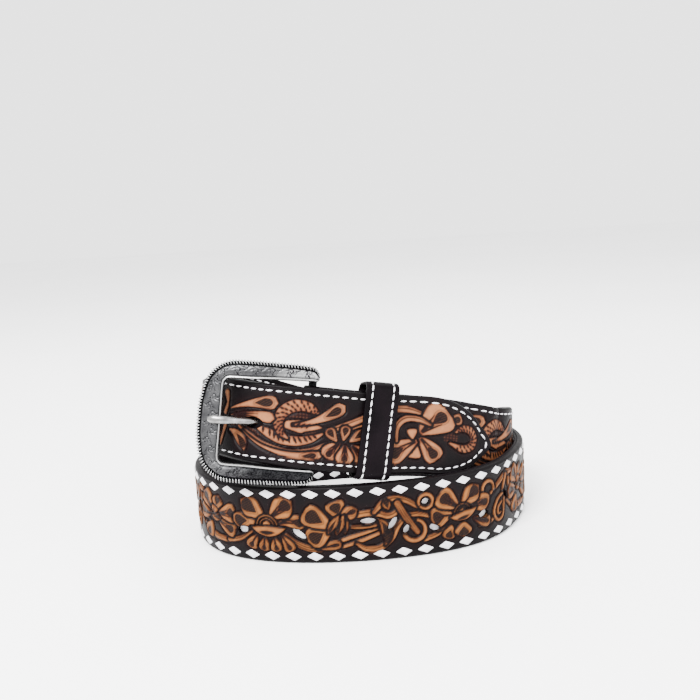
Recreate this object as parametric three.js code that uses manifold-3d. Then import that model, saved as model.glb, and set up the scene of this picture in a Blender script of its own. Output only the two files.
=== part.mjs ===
// Western belt, fastened and coiled in two turns that stand on edge. Millimetres, +Z up.
// A place on the strap is given as s along it from the buckle bar, h up its width
// and n outwards from its carved face; strapPoint() carries that place onto the coil.
import * as THREE from 'three';
import Module from 'manifold-3d';

const wasm = await Module();
wasm.setup();

// Strap
const strapWidth = 38;
const strapLength = 1075;
const faceThick = 2.0;
const billetThick = 2.8;
const inlayThick = 0.5;
const liningThick = 1.5;
const layerGap = 0.3;
const liningTop = -(billetThick + layerGap);
const liningBack = liningTop - liningThick;
const stationStep = 8;
const reliefHeight = 0.6;
const reliefRoot = 0.7;

// Seams where the pierced middle meets the two billets
const buckleSeam = 198;
const tipSeam = 788;
const seamNose = 9;

// Tip and fold
const tipLength = 34;
const foldEnd = 59;
const barRadius = 2.1;
const barDepth = -4.7;
const foldLeather = 2.2;
const slotLength = 15;
const slotWidth = 8;

// Buckle, placed from the bar
const frameLength = 52;
const frameFront = 7;
const frameBack = 3.3;
const frameArc = 95;
const frameTurn = -3;
const frameRoll = 2.6;

// Keeper and screws
const keeperAt = 33.2;
const keeperWidth = 16;
const keeperSlant = 0.06;
const keeperThick = 1.9;
const keeperInside = { low: -2.2, high: 40.6, back: -5.6, front: 7.3 };
const screws = [
  { name: 'screw_near_bar', at: 17 },
  { name: 'screw_past_keeper', at: 50 },
];
const screwHead = { radius: 4.6, height: 0.9, post: 2.2 };
const prongHole = { at: 950.5, along: 5.6, across: 2.8 };

// Coil seen from above: an oval with slightly filled corners
const coil = { x: -1.9, y: -0.6, halfWidth: 91, halfDepth: 67, corner: 2 };
const barTurn = -0.0452;

// Where each part of the coil runs: distance out from the oval, height of the lower edge, lean inwards
const run = [
  { turn: -0.13, out: -4.5, foot: 55.2, lean: 14 },
  { turn: -0.08, out: -3, foot: 51, lean: 15 },
  { turn: -0.03, out: -6, foot: 46.1, lean: 15 },
  { turn: 0.015, out: -11.9, foot: 40.8, lean: 15 },
  { turn: 0.06, out: -15.9, foot: 35.6, lean: 15 },
  { turn: 0.12, out: -17, foot: 28.6, lean: 12 },
  { turn: 0.18, out: -12, foot: 21.6, lean: 6 },
  { turn: 0.25, out: -4.2, foot: 15, lean: 0 },
  { turn: 0.34, out: -5, foot: 5, lean: 0 },
  { turn: 0.44, out: -6.4, foot: 0, lean: 0 },
  { turn: 0.7, out: -6, foot: 0, lean: 0 },
  { turn: 0.77, out: -1.6, foot: 0, lean: 0 },
  { turn: 0.88, out: 0, foot: 0, lean: 0 },
  { turn: 1.08, out: -1, foot: 0, lean: 0 },
  { turn: 1.17, out: -2.4, foot: 0, lean: 0 },
  { turn: 1.27, out: 2, foot: 0, lean: 0 },
  { turn: 1.4, out: 1.5, foot: 1.5, lean: 0 },
  { turn: 1.54, out: 1, foot: 16, lean: 0 },
  { turn: 1.66, out: 0.5, foot: 37, lean: 2 },
  { turn: 1.75, out: -3.2, foot: 42, lean: 8 },
  { turn: 1.82, out: -3.6, foot: 47.7, lean: 11 },
  { turn: 1.87, out: 0.2, foot: 52, lean: 14 },
  { turn: 1.92, out: 2.6, foot: 50.6, lean: 15 },
  { turn: 1.97, out: 0, foot: 46.6, lean: 15 },
  { turn: 2.015, out: -5.2, foot: 41.4, lean: 15 },
  { turn: 2.06, out: -9.4, foot: 37.1, lean: 15 },
  { turn: 2.12, out: -10.4, foot: 27.4, lean: 12 },
  { turn: 2.18, out: -5.7, foot: 18.4, lean: 6 },
  { turn: 2.24, out: -1, foot: 12, lean: 0 },
];

// Carving of the pierced middle, placed from the first bloom of each repeat
const repeatStarts = [276.6, 449.6, 622.6, 795.6];
const blooms = [
  { s: 0, h: 20, size: 12.5, turn: 0 },
  { s: 33, h: 20, size: 10, turn: 0.5 },
  { s: 96, h: 19, size: 11.5, turn: 0.1 },
  { s: -31, h: 19, size: 11.5, turn: 0.9 },
];
const bloomPetals = [
  { angle: 60, length: 1, width: 0.56 },
  { angle: 118, length: 1, width: 0.56 },
  { angle: 178, length: 1.15, width: 0.5 },
  { angle: 2, length: 1.15, width: 0.5 },
  { angle: 272, length: 0.85, width: 0.62 },
];
const scrollStems = [
  { s: 42, h: 22, length: 26, width: 3.4, angle: 16 },
  { s: 44, h: 9.5, length: 24, width: 3, angle: -6 },
  { s: 61, h: 11, length: 23, width: 3.2, angle: 38 },
  { s: 66, h: 28.5, length: 18, width: 3, angle: -22 },
  { s: 108, h: 12, length: 22, width: 3, angle: 40 },
  { s: 122, h: 28, length: 20, width: 3, angle: -48 },
];
const piercings = [
  { s: -12.5, h: 15.5, length: 5.4, width: 3, angle: 20 },
  { s: 17, h: 14.5, length: 6.6, width: 3.2, angle: -35 },
  { s: 50, h: 18.5, length: 6.5, width: 2.6, angle: 0 },
  { s: 62, h: 20.5, length: 6, width: 2.6, angle: 55 },
  { s: 68, h: 14.5, length: 4.6, width: 2.4, angle: 60 },
  { s: 78, h: 27, length: 4, width: 3, angle: 0 },
  { s: 82, h: 12.5, length: 4.6, width: 2.6, angle: -30 },
  { s: 111, h: 15, length: 5.4, width: 3.2, angle: 10 },
  { s: 126, h: 20, length: 6, width: 2.6, angle: -60 },
];

// Carving of the two billets, placed from the buckle bar
const billetLeaves = [
  { s: 77, h: 24, length: 24, width: 6, angle: 12 },
  { s: 79, h: 12, length: 22, width: 5, angle: -16 },
  { s: 99, h: 22, length: 22, width: 7, angle: -24 },
  { s: 114, h: 12, length: 24, width: 5, angle: 12 },
  { s: 140, h: 16, length: 24, width: 6, angle: -14 },
  { s: 818, h: 20, length: 24, width: 6, angle: 14 },
  { s: 826, h: 11, length: 22, width: 5, angle: -10 },
  { s: 844, h: 25, length: 24, width: 6, angle: -16 },
  { s: 860, h: 13, length: 24, width: 6, angle: 14 },
  { s: 882, h: 25, length: 22, width: 6, angle: 14 },
  { s: 918, h: 24, length: 22, width: 6, angle: -14 },
  { s: 936, h: 14, length: 20, width: 5, angle: 10 },
  { s: 949, h: 28, length: 24, width: 5.5, angle: 10 },
  { s: 950, h: 11, length: 13, width: 4, angle: -52 },
  { s: 972, h: 25, length: 17, width: 6, angle: 40 },
  { s: 979, h: 19, length: 22, width: 5, angle: 6 },
  { s: 966, h: 12, length: 34, width: 4.6, angle: -24 },
  { s: 991, h: 27, length: 20, width: 4, angle: 26 },
  { s: 1060, h: 18, length: 11, width: 7, angle: 60 },
];
const billetBlooms = [
  { s: 172, h: 19, size: 12.5, turn: 0.3 },
  { s: 997, h: 11.5, size: 8, turn: 0.6 },
  { s: 1035, h: 19.5, size: 14, turn: 0.4 },
];

// Six-point outline of petals and leaves, as shares of half length and half width
const leafShape = [
  { along: -1, across: 0 },
  { along: -0.35, across: -0.85 },
  { along: 0.45, across: -0.9 },
  { along: 1, across: 0 },
  { along: 0.45, across: 0.9 },
  { along: -0.35, across: 0.85 },
];
const bloomSway = 24;
const petalMiddle = 0.64;
const petalShare = 0.76;
const reliefTaper = 0.86;

// Rounded nose of a billet at a seam
const noseShape = [
  { along: 0, across: -1 },
  { along: 0.55, across: -0.72 },
  { along: 0.9, across: -0.38 },
  { along: 1, across: 0 },
  { along: 0.9, across: 0.38 },
  { along: 0.55, across: 0.72 },
  { along: 0, across: 1 },
];

// Tip: how full and how blunt the point is, and how far it leans to the upper edge
const tipShares = [0.2, 0.4, 0.57, 0.72, 0.84, 0.93, 0.985];
const tipFullness = 1.9;
const tipBluntness = 0.72;
const tipLift = 1.5;
const foldBlend = 12;

// Upper half of the frame, from the arm end to the middle of the left band
const frameStations = [
  { inS: 4.4, inH: 21.6, outS: 4.6, outH: 23.4 },
  { inS: 3, inH: 20.8, outS: 3.4, outH: 26 },
  { inS: 0, inH: 20.7, outS: 0, outH: 27.7 },
  { inS: -14, inH: 20.4, outS: -14, outH: 28.2 },
  { inS: -27, inH: 19.9, outS: -28.8, outH: 28.4 },
  { inS: -37, inH: 19.8, outS: -38.4, outH: 27.8 },
  { inS: -39.3, inH: 18.9, outS: -45, outH: 24.3 },
  { inS: -40.2, inH: 16.6, outS: -49.3, outH: 18.4 },
  { inS: -40.2, inH: 8, outS: -51.6, outH: 9 },
  { inS: -40.2, inH: 0, outS: -52, outH: 0 },
];
const lugAt = 23.5;
const lugDrop = 2.6;

// Prong from the bar to the left band, and its hinge loop
const prongPath = [
  { s: -2.7, n: -1.9, radius: 0.9 },
  { s: -6, n: -1.9, radius: 1.6 },
  { s: -15, n: -2.4, radius: 1.7 },
  { s: -20, n: -2.4, radius: 1.7 },
  { s: -23.5, n: -1.2, radius: 1.7 },
  { s: -29, n: 2.3, radius: 1.7 },
  { s: -34, n: 5.6, radius: 1.7 },
  { s: -37.2, n: 7.5, radius: 1.7 },
  { s: -41.4, n: 7.9, radius: 1.6 },
  { s: -48.6, n: 6.5, radius: 1.4 },
];
const prongHinge = { radius: 4, half: 2.6 };

// Keeper corners as shares of its inside, with the way out at each
const keeperCorners = [
  { h: -1, n: -0.7, outH: -1, outN: -0.2 },
  { h: -0.94, n: -1, outH: -0.5, outN: -0.9 },
  { h: 0, n: -1, outH: 0, outN: -1 },
  { h: 0.94, n: -1, outH: 0.5, outN: -0.9 },
  { h: 1, n: -0.7, outH: 1, outN: -0.2 },
  { h: 1, n: 0.7, outH: 1, outN: 0.2 },
  { h: 0.94, n: 1, outH: 0.5, outN: 0.9 },
  { h: 0, n: 1, outH: 0, outN: 1 },
  { h: -0.94, n: 1, outH: -0.5, outN: 0.9 },
  { h: -1, n: 0.7, outH: -1, outN: 0.2 },
];

const looks = {
  darkLeather: new THREE.MeshStandardMaterial({ color: 0x2a2022, roughness: 0.6 }),
  carvedLeather: new THREE.MeshStandardMaterial({ color: 0xb9844e, roughness: 0.55 }),
  whiteLeather: new THREE.MeshStandardMaterial({ color: 0xe4e1e4, roughness: 0.6 }),
  antiqueSilver: new THREE.MeshStandardMaterial({ color: 0x9a9a9c, roughness: 0.4, metalness: 1 }),
};

// Value of a column between the rows of the run, level where it stops rising or falling
function runValue(turn, column) {
  let i = 0;
  while (i < run.length - 2 && turn > run[i + 1].turn) i += 1;
  const climb = (k) => (run[k + 1][column] - run[k][column]) / (run[k + 1].turn - run[k].turn);
  const slope = (k) => {
    const before = climb(Math.max(k - 1, 0));
    const after = climb(Math.min(k, run.length - 2));
    return before * after <= 0 ? 0 : 2 * before * after / (before + after);
  };
  const span = run[i + 1].turn - run[i].turn;
  const u = (turn - run[i].turn) / span;
  const start = (2 * u ** 3 - 3 * u ** 2 + 1) * run[i][column];
  const leave = (u ** 3 - 2 * u ** 2 + u) * span * slope(i);
  const end = (3 * u ** 2 - 2 * u ** 3) * run[i + 1][column];
  const arrive = (u ** 3 - u ** 2) * span * slope(i + 1);
  return start + leave + end + arrive;
}

// Point of the oval at a turn
function ovalPoint(turn) {
  const a = 2 * Math.PI * turn;
  const x = coil.x + coil.halfWidth * Math.sin(a) + coil.corner * Math.sin(3 * a);
  const y = coil.y - coil.halfDepth * Math.cos(a) + coil.corner * Math.cos(3 * a);
  return [x, y];
}

// Lower edge of the carved face at a turn, and the level direction out from it
function footPoint(turn) {
  const [xa, ya] = ovalPoint(turn - 1e-4);
  const [xb, yb] = ovalPoint(turn + 1e-4);
  const out = new THREE.Vector3(yb - ya, xa - xb, 0).normalize();
  const foot = new THREE.Vector3(...ovalPoint(turn), runValue(turn, 'foot'));
  return { foot: foot.addScaledVector(out, runValue(turn, 'out')), out };
}

// Foot and square axes of the strap at a turn: ahead along it, up its width, out of its face
function station(turn) {
  const { foot, out: level } = footPoint(turn);
  const ahead = footPoint(turn + 1e-4).foot.sub(footPoint(turn - 1e-4).foot).normalize();
  const lean = THREE.MathUtils.degToRad(runValue(turn, 'lean'));
  const up = new THREE.Vector3(0, 0, Math.cos(lean)).addScaledVector(level, -Math.sin(lean));
  up.addScaledVector(ahead, -ahead.dot(up)).normalize();
  const out = new THREE.Vector3().crossVectors(ahead, up);
  return { foot, ahead, up, out };
}

// Length along the foot of the strap, measured from the bar
const lengthSteps = 6000;
const firstTurn = run[0].turn;
const lastTurn = run[run.length - 1].turn;
const lengthTable = [0];
function fillLengthTable() {
  let before = footPoint(firstTurn).foot;
  for (let i = 1; i <= lengthSteps; i += 1) {
    const now = footPoint(firstTurn + (lastTurn - firstTurn) * i / lengthSteps).foot;
    lengthTable.push(lengthTable[i - 1] + now.distanceTo(before));
    before = now;
  }
}
fillLengthTable();
const barStep = (barTurn - firstTurn) / (lastTurn - firstTurn) * lengthSteps;
const barLength = lengthTable[Math.round(barStep)];

// Turn reached at a length from the bar
function turnAt(s) {
  const target = s + barLength;
  let low = 0;
  let high = lengthSteps;
  while (high - low > 1) {
    const middle = (low + high) >> 1;
    if (lengthTable[middle] > target) high = middle;
    else low = middle;
  }
  const share = (target - lengthTable[low]) / (lengthTable[high] - lengthTable[low]);
  return firstTurn + (lastTurn - firstTurn) * (low + share) / lengthSteps;
}

// Strap place to coil place
function strapPoint(s, h, n) {
  const { foot, up, out } = station(turnAt(s));
  const p = foot.clone().addScaledVector(up, h).addScaledVector(out, n);
  return [p.x, p.y, p.z];
}

// Axes at the bar, for the rigid metal parts
function barFrame() {
  const { ahead, up, out } = station(barTurn);
  const origin = new THREE.Vector3(...strapPoint(0, strapWidth / 2, 0));
  const turn = THREE.MathUtils.degToRad(frameTurn);
  return { origin, up, ahead: ahead.applyAxisAngle(up, turn), out: out.applyAxisAngle(up, turn) };
}
const barAxes = barFrame();

// Bar place to coil place: s along the buckle, h from the strap's lower edge, n outwards
function barPoint(s, h, n) {
  const p = barAxes.origin.clone();
  p.addScaledVector(barAxes.ahead, s).addScaledVector(barAxes.up, h - strapWidth / 2);
  p.addScaledVector(barAxes.out, n);
  return [p.x, p.y, p.z];
}

// The same with the gentle arch of the cast frame and its slight roll on the bar
function archPoint(s, h, n) {
  const roll = THREE.MathUtils.degToRad(frameRoll);
  const fromMiddle = s + frameLength / 2;
  const across = h - strapWidth / 2;
  return barPoint(
    s * Math.cos(roll) - across * Math.sin(roll),
    strapWidth / 2 + s * Math.sin(roll) + across * Math.cos(roll),
    n - fromMiddle ** 2 / (2 * frameArc),
  );
}

// Closed body from points and faces, turned outwards if needed
function body(points, faces) {
  let volume = 0;
  for (const [a, b, c] of faces) {
    const [p, q, r] = [points[a], points[b], points[c]];
    volume += p[0] * (q[1] * r[2] - q[2] * r[1]) - p[1] * (q[0] * r[2] - q[2] * r[0])
      + p[2] * (q[0] * r[1] - q[1] * r[0]);
  }
  const turned = volume > 0 ? faces : faces.map(([a, b, c]) => [a, c, b]);
  const mesh = new wasm.Mesh({
    numProp: 3,
    vertProperties: new Float32Array(points.flat()),
    triVerts: new Uint32Array(turned.flat()),
  });
  return new wasm.Manifold(mesh);
}

// Body through rings of equal size; an open one is closed by a strip across each end ring
function loft(rings, closed = false) {
  const count = rings[0].length;
  const faces = [];
  const links = closed ? rings.length : rings.length - 1;
  for (let i = 0; i < links; i += 1) {
    const here = i * count;
    const next = ((i + 1) % rings.length) * count;
    for (let k = 0; k < count; k += 1) {
      const j = (k + 1) % count;
      const [a, b, c, d] = [here + k, here + j, next + j, next + k];
      if (k < count / 2) faces.push([a, b, c], [a, c, d]);
      else faces.push([a, b, d], [b, c, d]);
    }
  }
  if (!closed) {
    for (const [first, flip] of [[0, true], [(rings.length - 1) * count, false]]) {
      for (let k = 0; k < count / 2 - 1; k += 1) {
        const quad = [k, k + 1, count - 2 - k, count - 1 - k].map((v) => v + first);
        const [a, b, c, d] = flip ? quad.reverse() : quad;
        faces.push([a, b, c], [a, c, d]);
      }
    }
  }
  return body(rings.flat(), faces);
}

// Prism over a flat outline between two depths, its points carried over by a place function
function prism(shape, low, high, place, taper = 1) {
  const flat = shape.map(([s, h]) => new THREE.Vector2(s, h));
  const outline = THREE.ShapeUtils.isClockWise(flat) ? [...shape].reverse() : shape;
  const corners = outline.map(([s, h]) => new THREE.Vector2(s, h));
  const caps = THREE.ShapeUtils.triangulateShape(corners, []);
  const count = outline.length;
  const middleS = outline.reduce((sum, [s]) => sum + s / count, 0);
  const middleH = outline.reduce((sum, [, h]) => sum + h / count, 0);
  const top = outline.map(([s, h]) => [
    middleS + (s - middleS) * taper,
    middleH + (h - middleH) * taper,
  ]);
  const points = [
    ...outline.map(([s, h]) => place(s, h, low)),
    ...top.map(([s, h]) => place(s, h, high)),
  ];
  const faces = [];
  for (const [a, b, c] of caps) {
    faces.push([a, c, b], [a + count, b + count, c + count]);
  }
  for (let k = 0; k < count; k += 1) {
    const j = (k + 1) % count;
    faces.push([k, j, j + count], [k, j + count, k + count]);
  }
  return body(points, faces);
}

// Even places along the strap, with closer ones over the tip
function placesAlong(from, to) {
  const plainEnd = Math.min(to, strapLength - tipLength);
  const places = [from];
  for (let s = stationStep * Math.ceil(from / stationStep + 0.2); s < plainEnd - 1; s += stationStep) {
    places.push(s);
  }
  places.push(plainEnd);
  if (to > plainEnd) {
    for (const share of tipShares) places.push(plainEnd + (to - plainEnd) * share);
  }
  return places;
}

// Lower and upper edge of the strap, drawn in over the tip
function strapEdges(s) {
  const share = Math.max(0, (s - strapLength + tipLength) / tipLength);
  const half = strapWidth / 2 * (1 - share ** tipFullness) ** tipBluntness;
  const middle = strapWidth / 2 + tipLift * share ** 2;
  return [middle - half, middle + half];
}

// Layer of leather between two depths and two sets of edges
function band(from, to, low, high, inset = 0) {
  const rings = placesAlong(from, to).map((s) => {
    const [bottom, top] = strapEdges(s);
    const [b, t] = [bottom + inset, top - inset];
    return [[b, low], [t, low], [t, high], [b, high]].map(([h, n]) => strapPoint(s, h, n));
  });
  return loft(rings);
}

// Pointed oval outline, as for petals, leaves and cut-out gaps
function leafOutline({ s, h, length, width, angle }) {
  const turn = angle * Math.PI / 180;
  return leafShape.map(({ along, across }) => {
    const a = along * length / 2;
    const b = across * width / 2;
    return [s + a * Math.cos(turn) - b * Math.sin(turn), h + a * Math.sin(turn) + b * Math.cos(turn)];
  });
}

// Petals of one bloom, as leaf rows
function bloomRows({ s, h, size, turn }) {
  return bloomPetals.map(({ angle, length, width }) => {
    const full = angle + turn * bloomSway;
    const reach = size * length;
    const a = full * Math.PI / 180;
    return {
      s: s + reach * petalMiddle * Math.cos(a),
      h: h + reach * petalMiddle * Math.sin(a),
      length: reach * petalShare,
      width: size * width,
      angle: full,
    };
  });
}

// Leather with raised carving and cut-out gaps
function carve(leather, raised, gaps) {
  let carved = leather;
  for (const row of raised) {
    carved = carved.add(prism(leafOutline(row), -reliefRoot, reliefHeight, strapPoint, reliefTaper));
  }
  for (const row of gaps) {
    carved = carved.subtract(prism(leafOutline(row), -faceThick - 1, reliefHeight + 1, strapPoint));
  }
  return carved;
}

// Rounded nose of a billet at a seam, pointing along the strap
function noseOutline(seam, direction, grow) {
  return noseShape.map(({ along, across }) => [
    seam + direction * (along * seamNose + grow),
    strapWidth / 2 + across * (strapWidth / 2 + grow),
  ]);
}

// Billet folded round the bar, from the end of its return to the seam
function foldedLeather() {
  const pairs = [];
  const returnTop = liningTop;
  for (const s of [foldEnd, 46, 37, 28, 20, foldBlend]) {
    pairs.push([[s, returnTop], [s, returnTop - foldLeather]]);
  }
  for (let k = 0; k <= 8; k += 1) {
    const a = Math.PI * (1.5 - k / 8);
    const inner = -barDepth - foldLeather;
    pairs.push([
      [inner * Math.cos(a), barDepth + inner * Math.sin(a)],
      [-barDepth * Math.cos(a), barDepth - barDepth * Math.sin(a)],
    ]);
  }
  for (const s of placesAlong(foldBlend, buckleSeam)) {
    pairs.push([[s, -billetThick], [s, 0]]);
  }
  return loft(pairs.map(([inner, outer]) => [
    strapPoint(inner[0], 0, inner[1]),
    strapPoint(inner[0], strapWidth, inner[1]),
    strapPoint(outer[0], strapWidth, outer[1]),
    strapPoint(outer[0], 0, outer[1]),
  ]));
}

// Carved billet on the buckle side, with its slot and screw holes
function makeBuckleBillet() {
  let billet = foldedLeather();
  billet = billet.add(prism(noseOutline(buckleSeam, 1, 0), -billetThick, 0, strapPoint));
  const raised = billetLeaves.filter(({ s }) => s < buckleSeam);
  for (const bloom of billetBlooms.filter(({ s }) => s < buckleSeam)) raised.push(...bloomRows(bloom));
  billet = carve(billet, raised, []);
  const middle = strapWidth / 2;
  const slot = [
    [-slotLength / 2, middle - slotWidth / 2],
    [slotLength / 2, middle - slotWidth / 2],
    [slotLength / 2 + 1.5, middle],
    [slotLength / 2, middle + slotWidth / 2],
    [-slotLength / 2, middle + slotWidth / 2],
  ];
  billet = billet.subtract(prism(slot, barDepth * 3, 3, strapPoint));
  for (const { at } of screws) {
    const hole = disc(at, middle, screwHead.post + layerGap);
    billet = billet.subtract(prism(hole, -9, 3, strapPoint));
  }
  return billet;
}

// Round outline
function disc(s, h, radius, sides = 10) {
  const outline = [];
  for (let k = 0; k < sides; k += 1) {
    const a = 2 * Math.PI * k / sides;
    outline.push([s + radius * Math.cos(a), h + radius * Math.sin(a)]);
  }
  return outline;
}

// Pierced middle between the two seams
function makeMiddleFace() {
  const margin = layerGap;
  let face = band(buckleSeam + margin, tipSeam - margin, -faceThick, 0);
  const raised = [];
  const gaps = [];
  const within = (s, room) => s > buckleSeam + seamNose + room && s < tipSeam - seamNose - room;
  for (const start of repeatStarts) {
    for (const bloom of blooms) {
      const moved = { ...bloom, s: bloom.s + start };
      if (within(moved.s, 13)) raised.push(...bloomRows(moved));
    }
    for (const stem of scrollStems) {
      if (within(stem.s + start, 12)) raised.push({ ...stem, s: stem.s + start });
    }
    for (const gap of piercings) {
      if (within(gap.s + start, 5)) gaps.push({ ...gap, s: gap.s + start });
    }
  }
  face = carve(face, raised, gaps);
  face = face.subtract(prism(noseOutline(buckleSeam, 1, margin), -4, 2, strapPoint));
  face = face.subtract(prism(noseOutline(tipSeam, -1, margin), -4, 2, strapPoint));
  return face;
}

// The main body, without slivers left between two cuts
function largest(solid) {
  return solid.decompose().reduce((best, piece) => (piece.volume() > best.volume() ? piece : best));
}

// Carved billet with the tip and the hole in use
function makeTipBillet() {
  let billet = band(tipSeam, strapLength, -billetThick, 0);
  billet = billet.add(prism(noseOutline(tipSeam, -1, 0), -billetThick, 0, strapPoint));
  const raised = billetLeaves.filter(({ s }) => s > tipSeam);
  for (const bloom of billetBlooms.filter(({ s }) => s > tipSeam)) raised.push(...bloomRows(bloom));
  billet = carve(billet, raised, []);
  return billet.subtract(prism(holeOutline(), -9, 3, strapPoint));
}

// Long hole for the prong
function holeOutline() {
  const { at, along, across } = prongHole;
  return disc(0, 0, 1).map(([a, b]) => [at + a * along, strapWidth / 2 + b * across]);
}

// Plain leather behind everything but the fold
function makeLining() {
  const lining = band(foldEnd + 1, strapLength, liningBack, liningTop);
  return lining.subtract(prism(holeOutline(), -9, 3, strapPoint));
}

// Pale strip that shows through the pierced middle
function makeInlay() {
  const room = seamNose + 2;
  const top = -faceThick - layerGap;
  return band(buckleSeam + room, tipSeam - room, top - inlayThick, top, 6.5);
}

// Cast frame with its bar, swept from one arm end to the other
function makeFrame() {
  const middle = strapWidth / 2;
  const lower = frameStations.slice(0, -1).map((row) => ({ ...row, side: -1 }));
  const upper = frameStations.map((row) => ({ ...row, side: 1 }));
  const rings = [...upper, ...lower.reverse()].map(({ inS, inH, outS, outH, side }) => {
    const size = Math.hypot(outS - inS, outH - inH);
    const at = (distance, n) => {
      const share = distance / size;
      const s = inS + (outS - inS) * share;
      const h = inH + (outH - inH) * share;
      return archPoint(s, middle + side * h, n);
    };
    const lip = Math.min(1.1, size * 0.3);
    const rim = Math.min(2, size * 0.35);
    return [
      at(0, frameBack),
      at(0, frameFront - 0.9),
      at(lip, frameFront),
      at(size - rim, frameFront),
      at(size, frameFront - 1.8),
      at(size, frameBack),
    ];
  });
  let frame = loft(rings);
  const barRing = (h) => disc(0, barDepth, barRadius).map(([s, n]) => barPoint(s, h, n));
  frame = frame.add(loft([barRing(middle - lugAt - 1), barRing(middle + lugAt + 1)]));
  for (const side of [-1, 1]) {
    const low = middle + side * (lugAt - 2);
    const high = middle + side * (lugAt + 2.4);
    const lug = [[-2.6, low], [2.6, low], [2.6, high], [-2.6, high]];
    frame = frame.add(prism(lug, barDepth - barRadius, frameBack + 0.4 - lugDrop, barPoint));
  }
  return frame;
}

// Prong hinged on the bar, through the hole and resting on the frame
function makeProng() {
  const middle = strapWidth / 2;
  const ringInside = barRadius + layerGap;
  const hinge = [];
  for (let k = 0; k < 10; k += 1) {
    const a = 2 * Math.PI * k / 10;
    hinge.push([
      [ringInside, -prongHinge.half],
      [ringInside, prongHinge.half],
      [prongHinge.radius, prongHinge.half],
      [prongHinge.radius, -prongHinge.half],
    ].map(([r, h]) => barPoint(r * Math.cos(a), middle + h, barDepth + r * Math.sin(a))));
  }
  const roll = THREE.MathUtils.degToRad(frameRoll);
  const rings = prongPath.map(({ s, n, radius }, i) => {
    const before = prongPath[Math.max(i - 1, 0)];
    const after = prongPath[Math.min(i + 1, prongPath.length - 1)];
    const a = Math.atan2(after.n - before.n, after.s - before.s);
    return disc(0, 0, radius, 8).map(([q, h]) => {
      return barPoint(s - q * Math.sin(a), middle + h + s * Math.sin(roll), n + q * Math.cos(a));
    });
  });
  return loft(hinge, true).add(loft(rings));
}

// Loop that holds the tip down
function makeKeeper() {
  const { low, high, back, front } = keeperInside;
  const across = (low + high) / 2;
  const deep = (back + front) / 2;
  const rings = keeperCorners.map(({ h, n, outH, outN }) => {
    const inner = [across + h * (high - low) / 2, deep + n * (front - back) / 2];
    const outer = [inner[0] + outH * keeperThick, inner[1] + outN * keeperThick];
    const at = ([height, depth], side) => {
      const slant = keeperSlant * (height - strapWidth / 2);
      return strapPoint(keeperAt + slant + side * keeperWidth / 2, height, depth);
    };
    return [at(inner, -1), at(inner, 1), at(outer, 1), at(outer, -1)];
  });
  return loft(rings, true);
}

// Two-headed screw through the billet and its return
function makeScrew({ at }) {
  const middle = strapWidth / 2;
  const back = liningTop - foldLeather - layerGap;
  const { radius, height, post } = screwHead;
  const wide = disc(at, middle, radius, 12);
  const stem = disc(at, middle, post);
  return prism(wide, layerGap, layerGap + height, strapPoint, 0.8)
    .add(prism(stem, back - 0.3, layerGap + 0.3, strapPoint))
    .add(prism(wide, back - height, back, strapPoint));
}

// Mesh with a name and a material from a finished body
function named(name, solid, look) {
  const { vertProperties, triVerts, numProp } = largest(solid).getMesh();
  const flat = new THREE.BufferGeometry();
  const positions = new Float32Array(triVerts.length * 3);
  triVerts.forEach((vertex, i) => {
    for (let k = 0; k < 3; k += 1) positions[i * 3 + k] = vertProperties[vertex * numProp + k];
  });
  flat.setAttribute('position', new THREE.BufferAttribute(positions, 3));
  flat.computeVertexNormals();
  const mesh = new THREE.Mesh(flat, looks[look]);
  mesh.name = name;
  return mesh;
}

const belt = new THREE.Group();
belt.name = 'western_belt';
belt.add(
  named('lining', makeLining(), 'darkLeather'),
  named('white_inlay', makeInlay(), 'whiteLeather'),
  named('buckle_billet', makeBuckleBillet(), 'carvedLeather'),
  named('middle_face', makeMiddleFace(), 'carvedLeather'),
  named('tip_billet', makeTipBillet(), 'carvedLeather'),
  named('keeper', makeKeeper(), 'darkLeather'),
  named('buckle_frame', makeFrame(), 'antiqueSilver'),
  named('prong', makeProng(), 'antiqueSilver'),
);
for (const screw of screws) belt.add(named(screw.name, makeScrew(screw), 'antiqueSilver'));

export default belt;
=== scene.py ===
# Western belt, fastened and coiled on edge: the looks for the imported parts.
# Leather is worked flat on the bench in millimetres (x along the strap from the buckle bar,
# y up its width, z out of its face) and is then laid round the coil in metres.
import math

import bpy
import numpy as np
from mathutils import Matrix


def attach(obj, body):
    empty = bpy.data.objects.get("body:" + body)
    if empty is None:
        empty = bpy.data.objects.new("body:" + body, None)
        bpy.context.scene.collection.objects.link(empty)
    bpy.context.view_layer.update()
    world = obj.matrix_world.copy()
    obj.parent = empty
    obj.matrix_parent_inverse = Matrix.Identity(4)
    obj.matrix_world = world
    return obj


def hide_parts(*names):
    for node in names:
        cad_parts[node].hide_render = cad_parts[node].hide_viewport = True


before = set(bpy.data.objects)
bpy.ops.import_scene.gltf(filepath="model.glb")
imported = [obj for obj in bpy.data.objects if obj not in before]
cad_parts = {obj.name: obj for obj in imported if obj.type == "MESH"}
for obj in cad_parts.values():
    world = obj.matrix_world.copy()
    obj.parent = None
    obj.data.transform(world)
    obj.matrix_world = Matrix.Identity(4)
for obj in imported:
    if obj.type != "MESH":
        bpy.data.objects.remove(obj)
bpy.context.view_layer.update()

metre = 0.001
tiny = 1e-4

strap = {
    "width": 38.0, "length": 1075.0, "face": 2.0, "rim": 2.98,
    "liningTop": -3.1, "liningBack": -4.6, "liningFrom": 60.0,
    "buckleSeam": 198.0, "tipSeam": 788.0, "noseLength": 9.0, "noseGap": 0.3,
    "tipLength": 34.0, "tipFullness": 1.9, "tipBluntness": 0.72, "tipLift": 1.5, "tipStop": 0.985,
}
midWidth = strap["width"] / 2
tipEnd = strap["length"] - strap["tipLength"] * (1 - strap["tipStop"])

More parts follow.
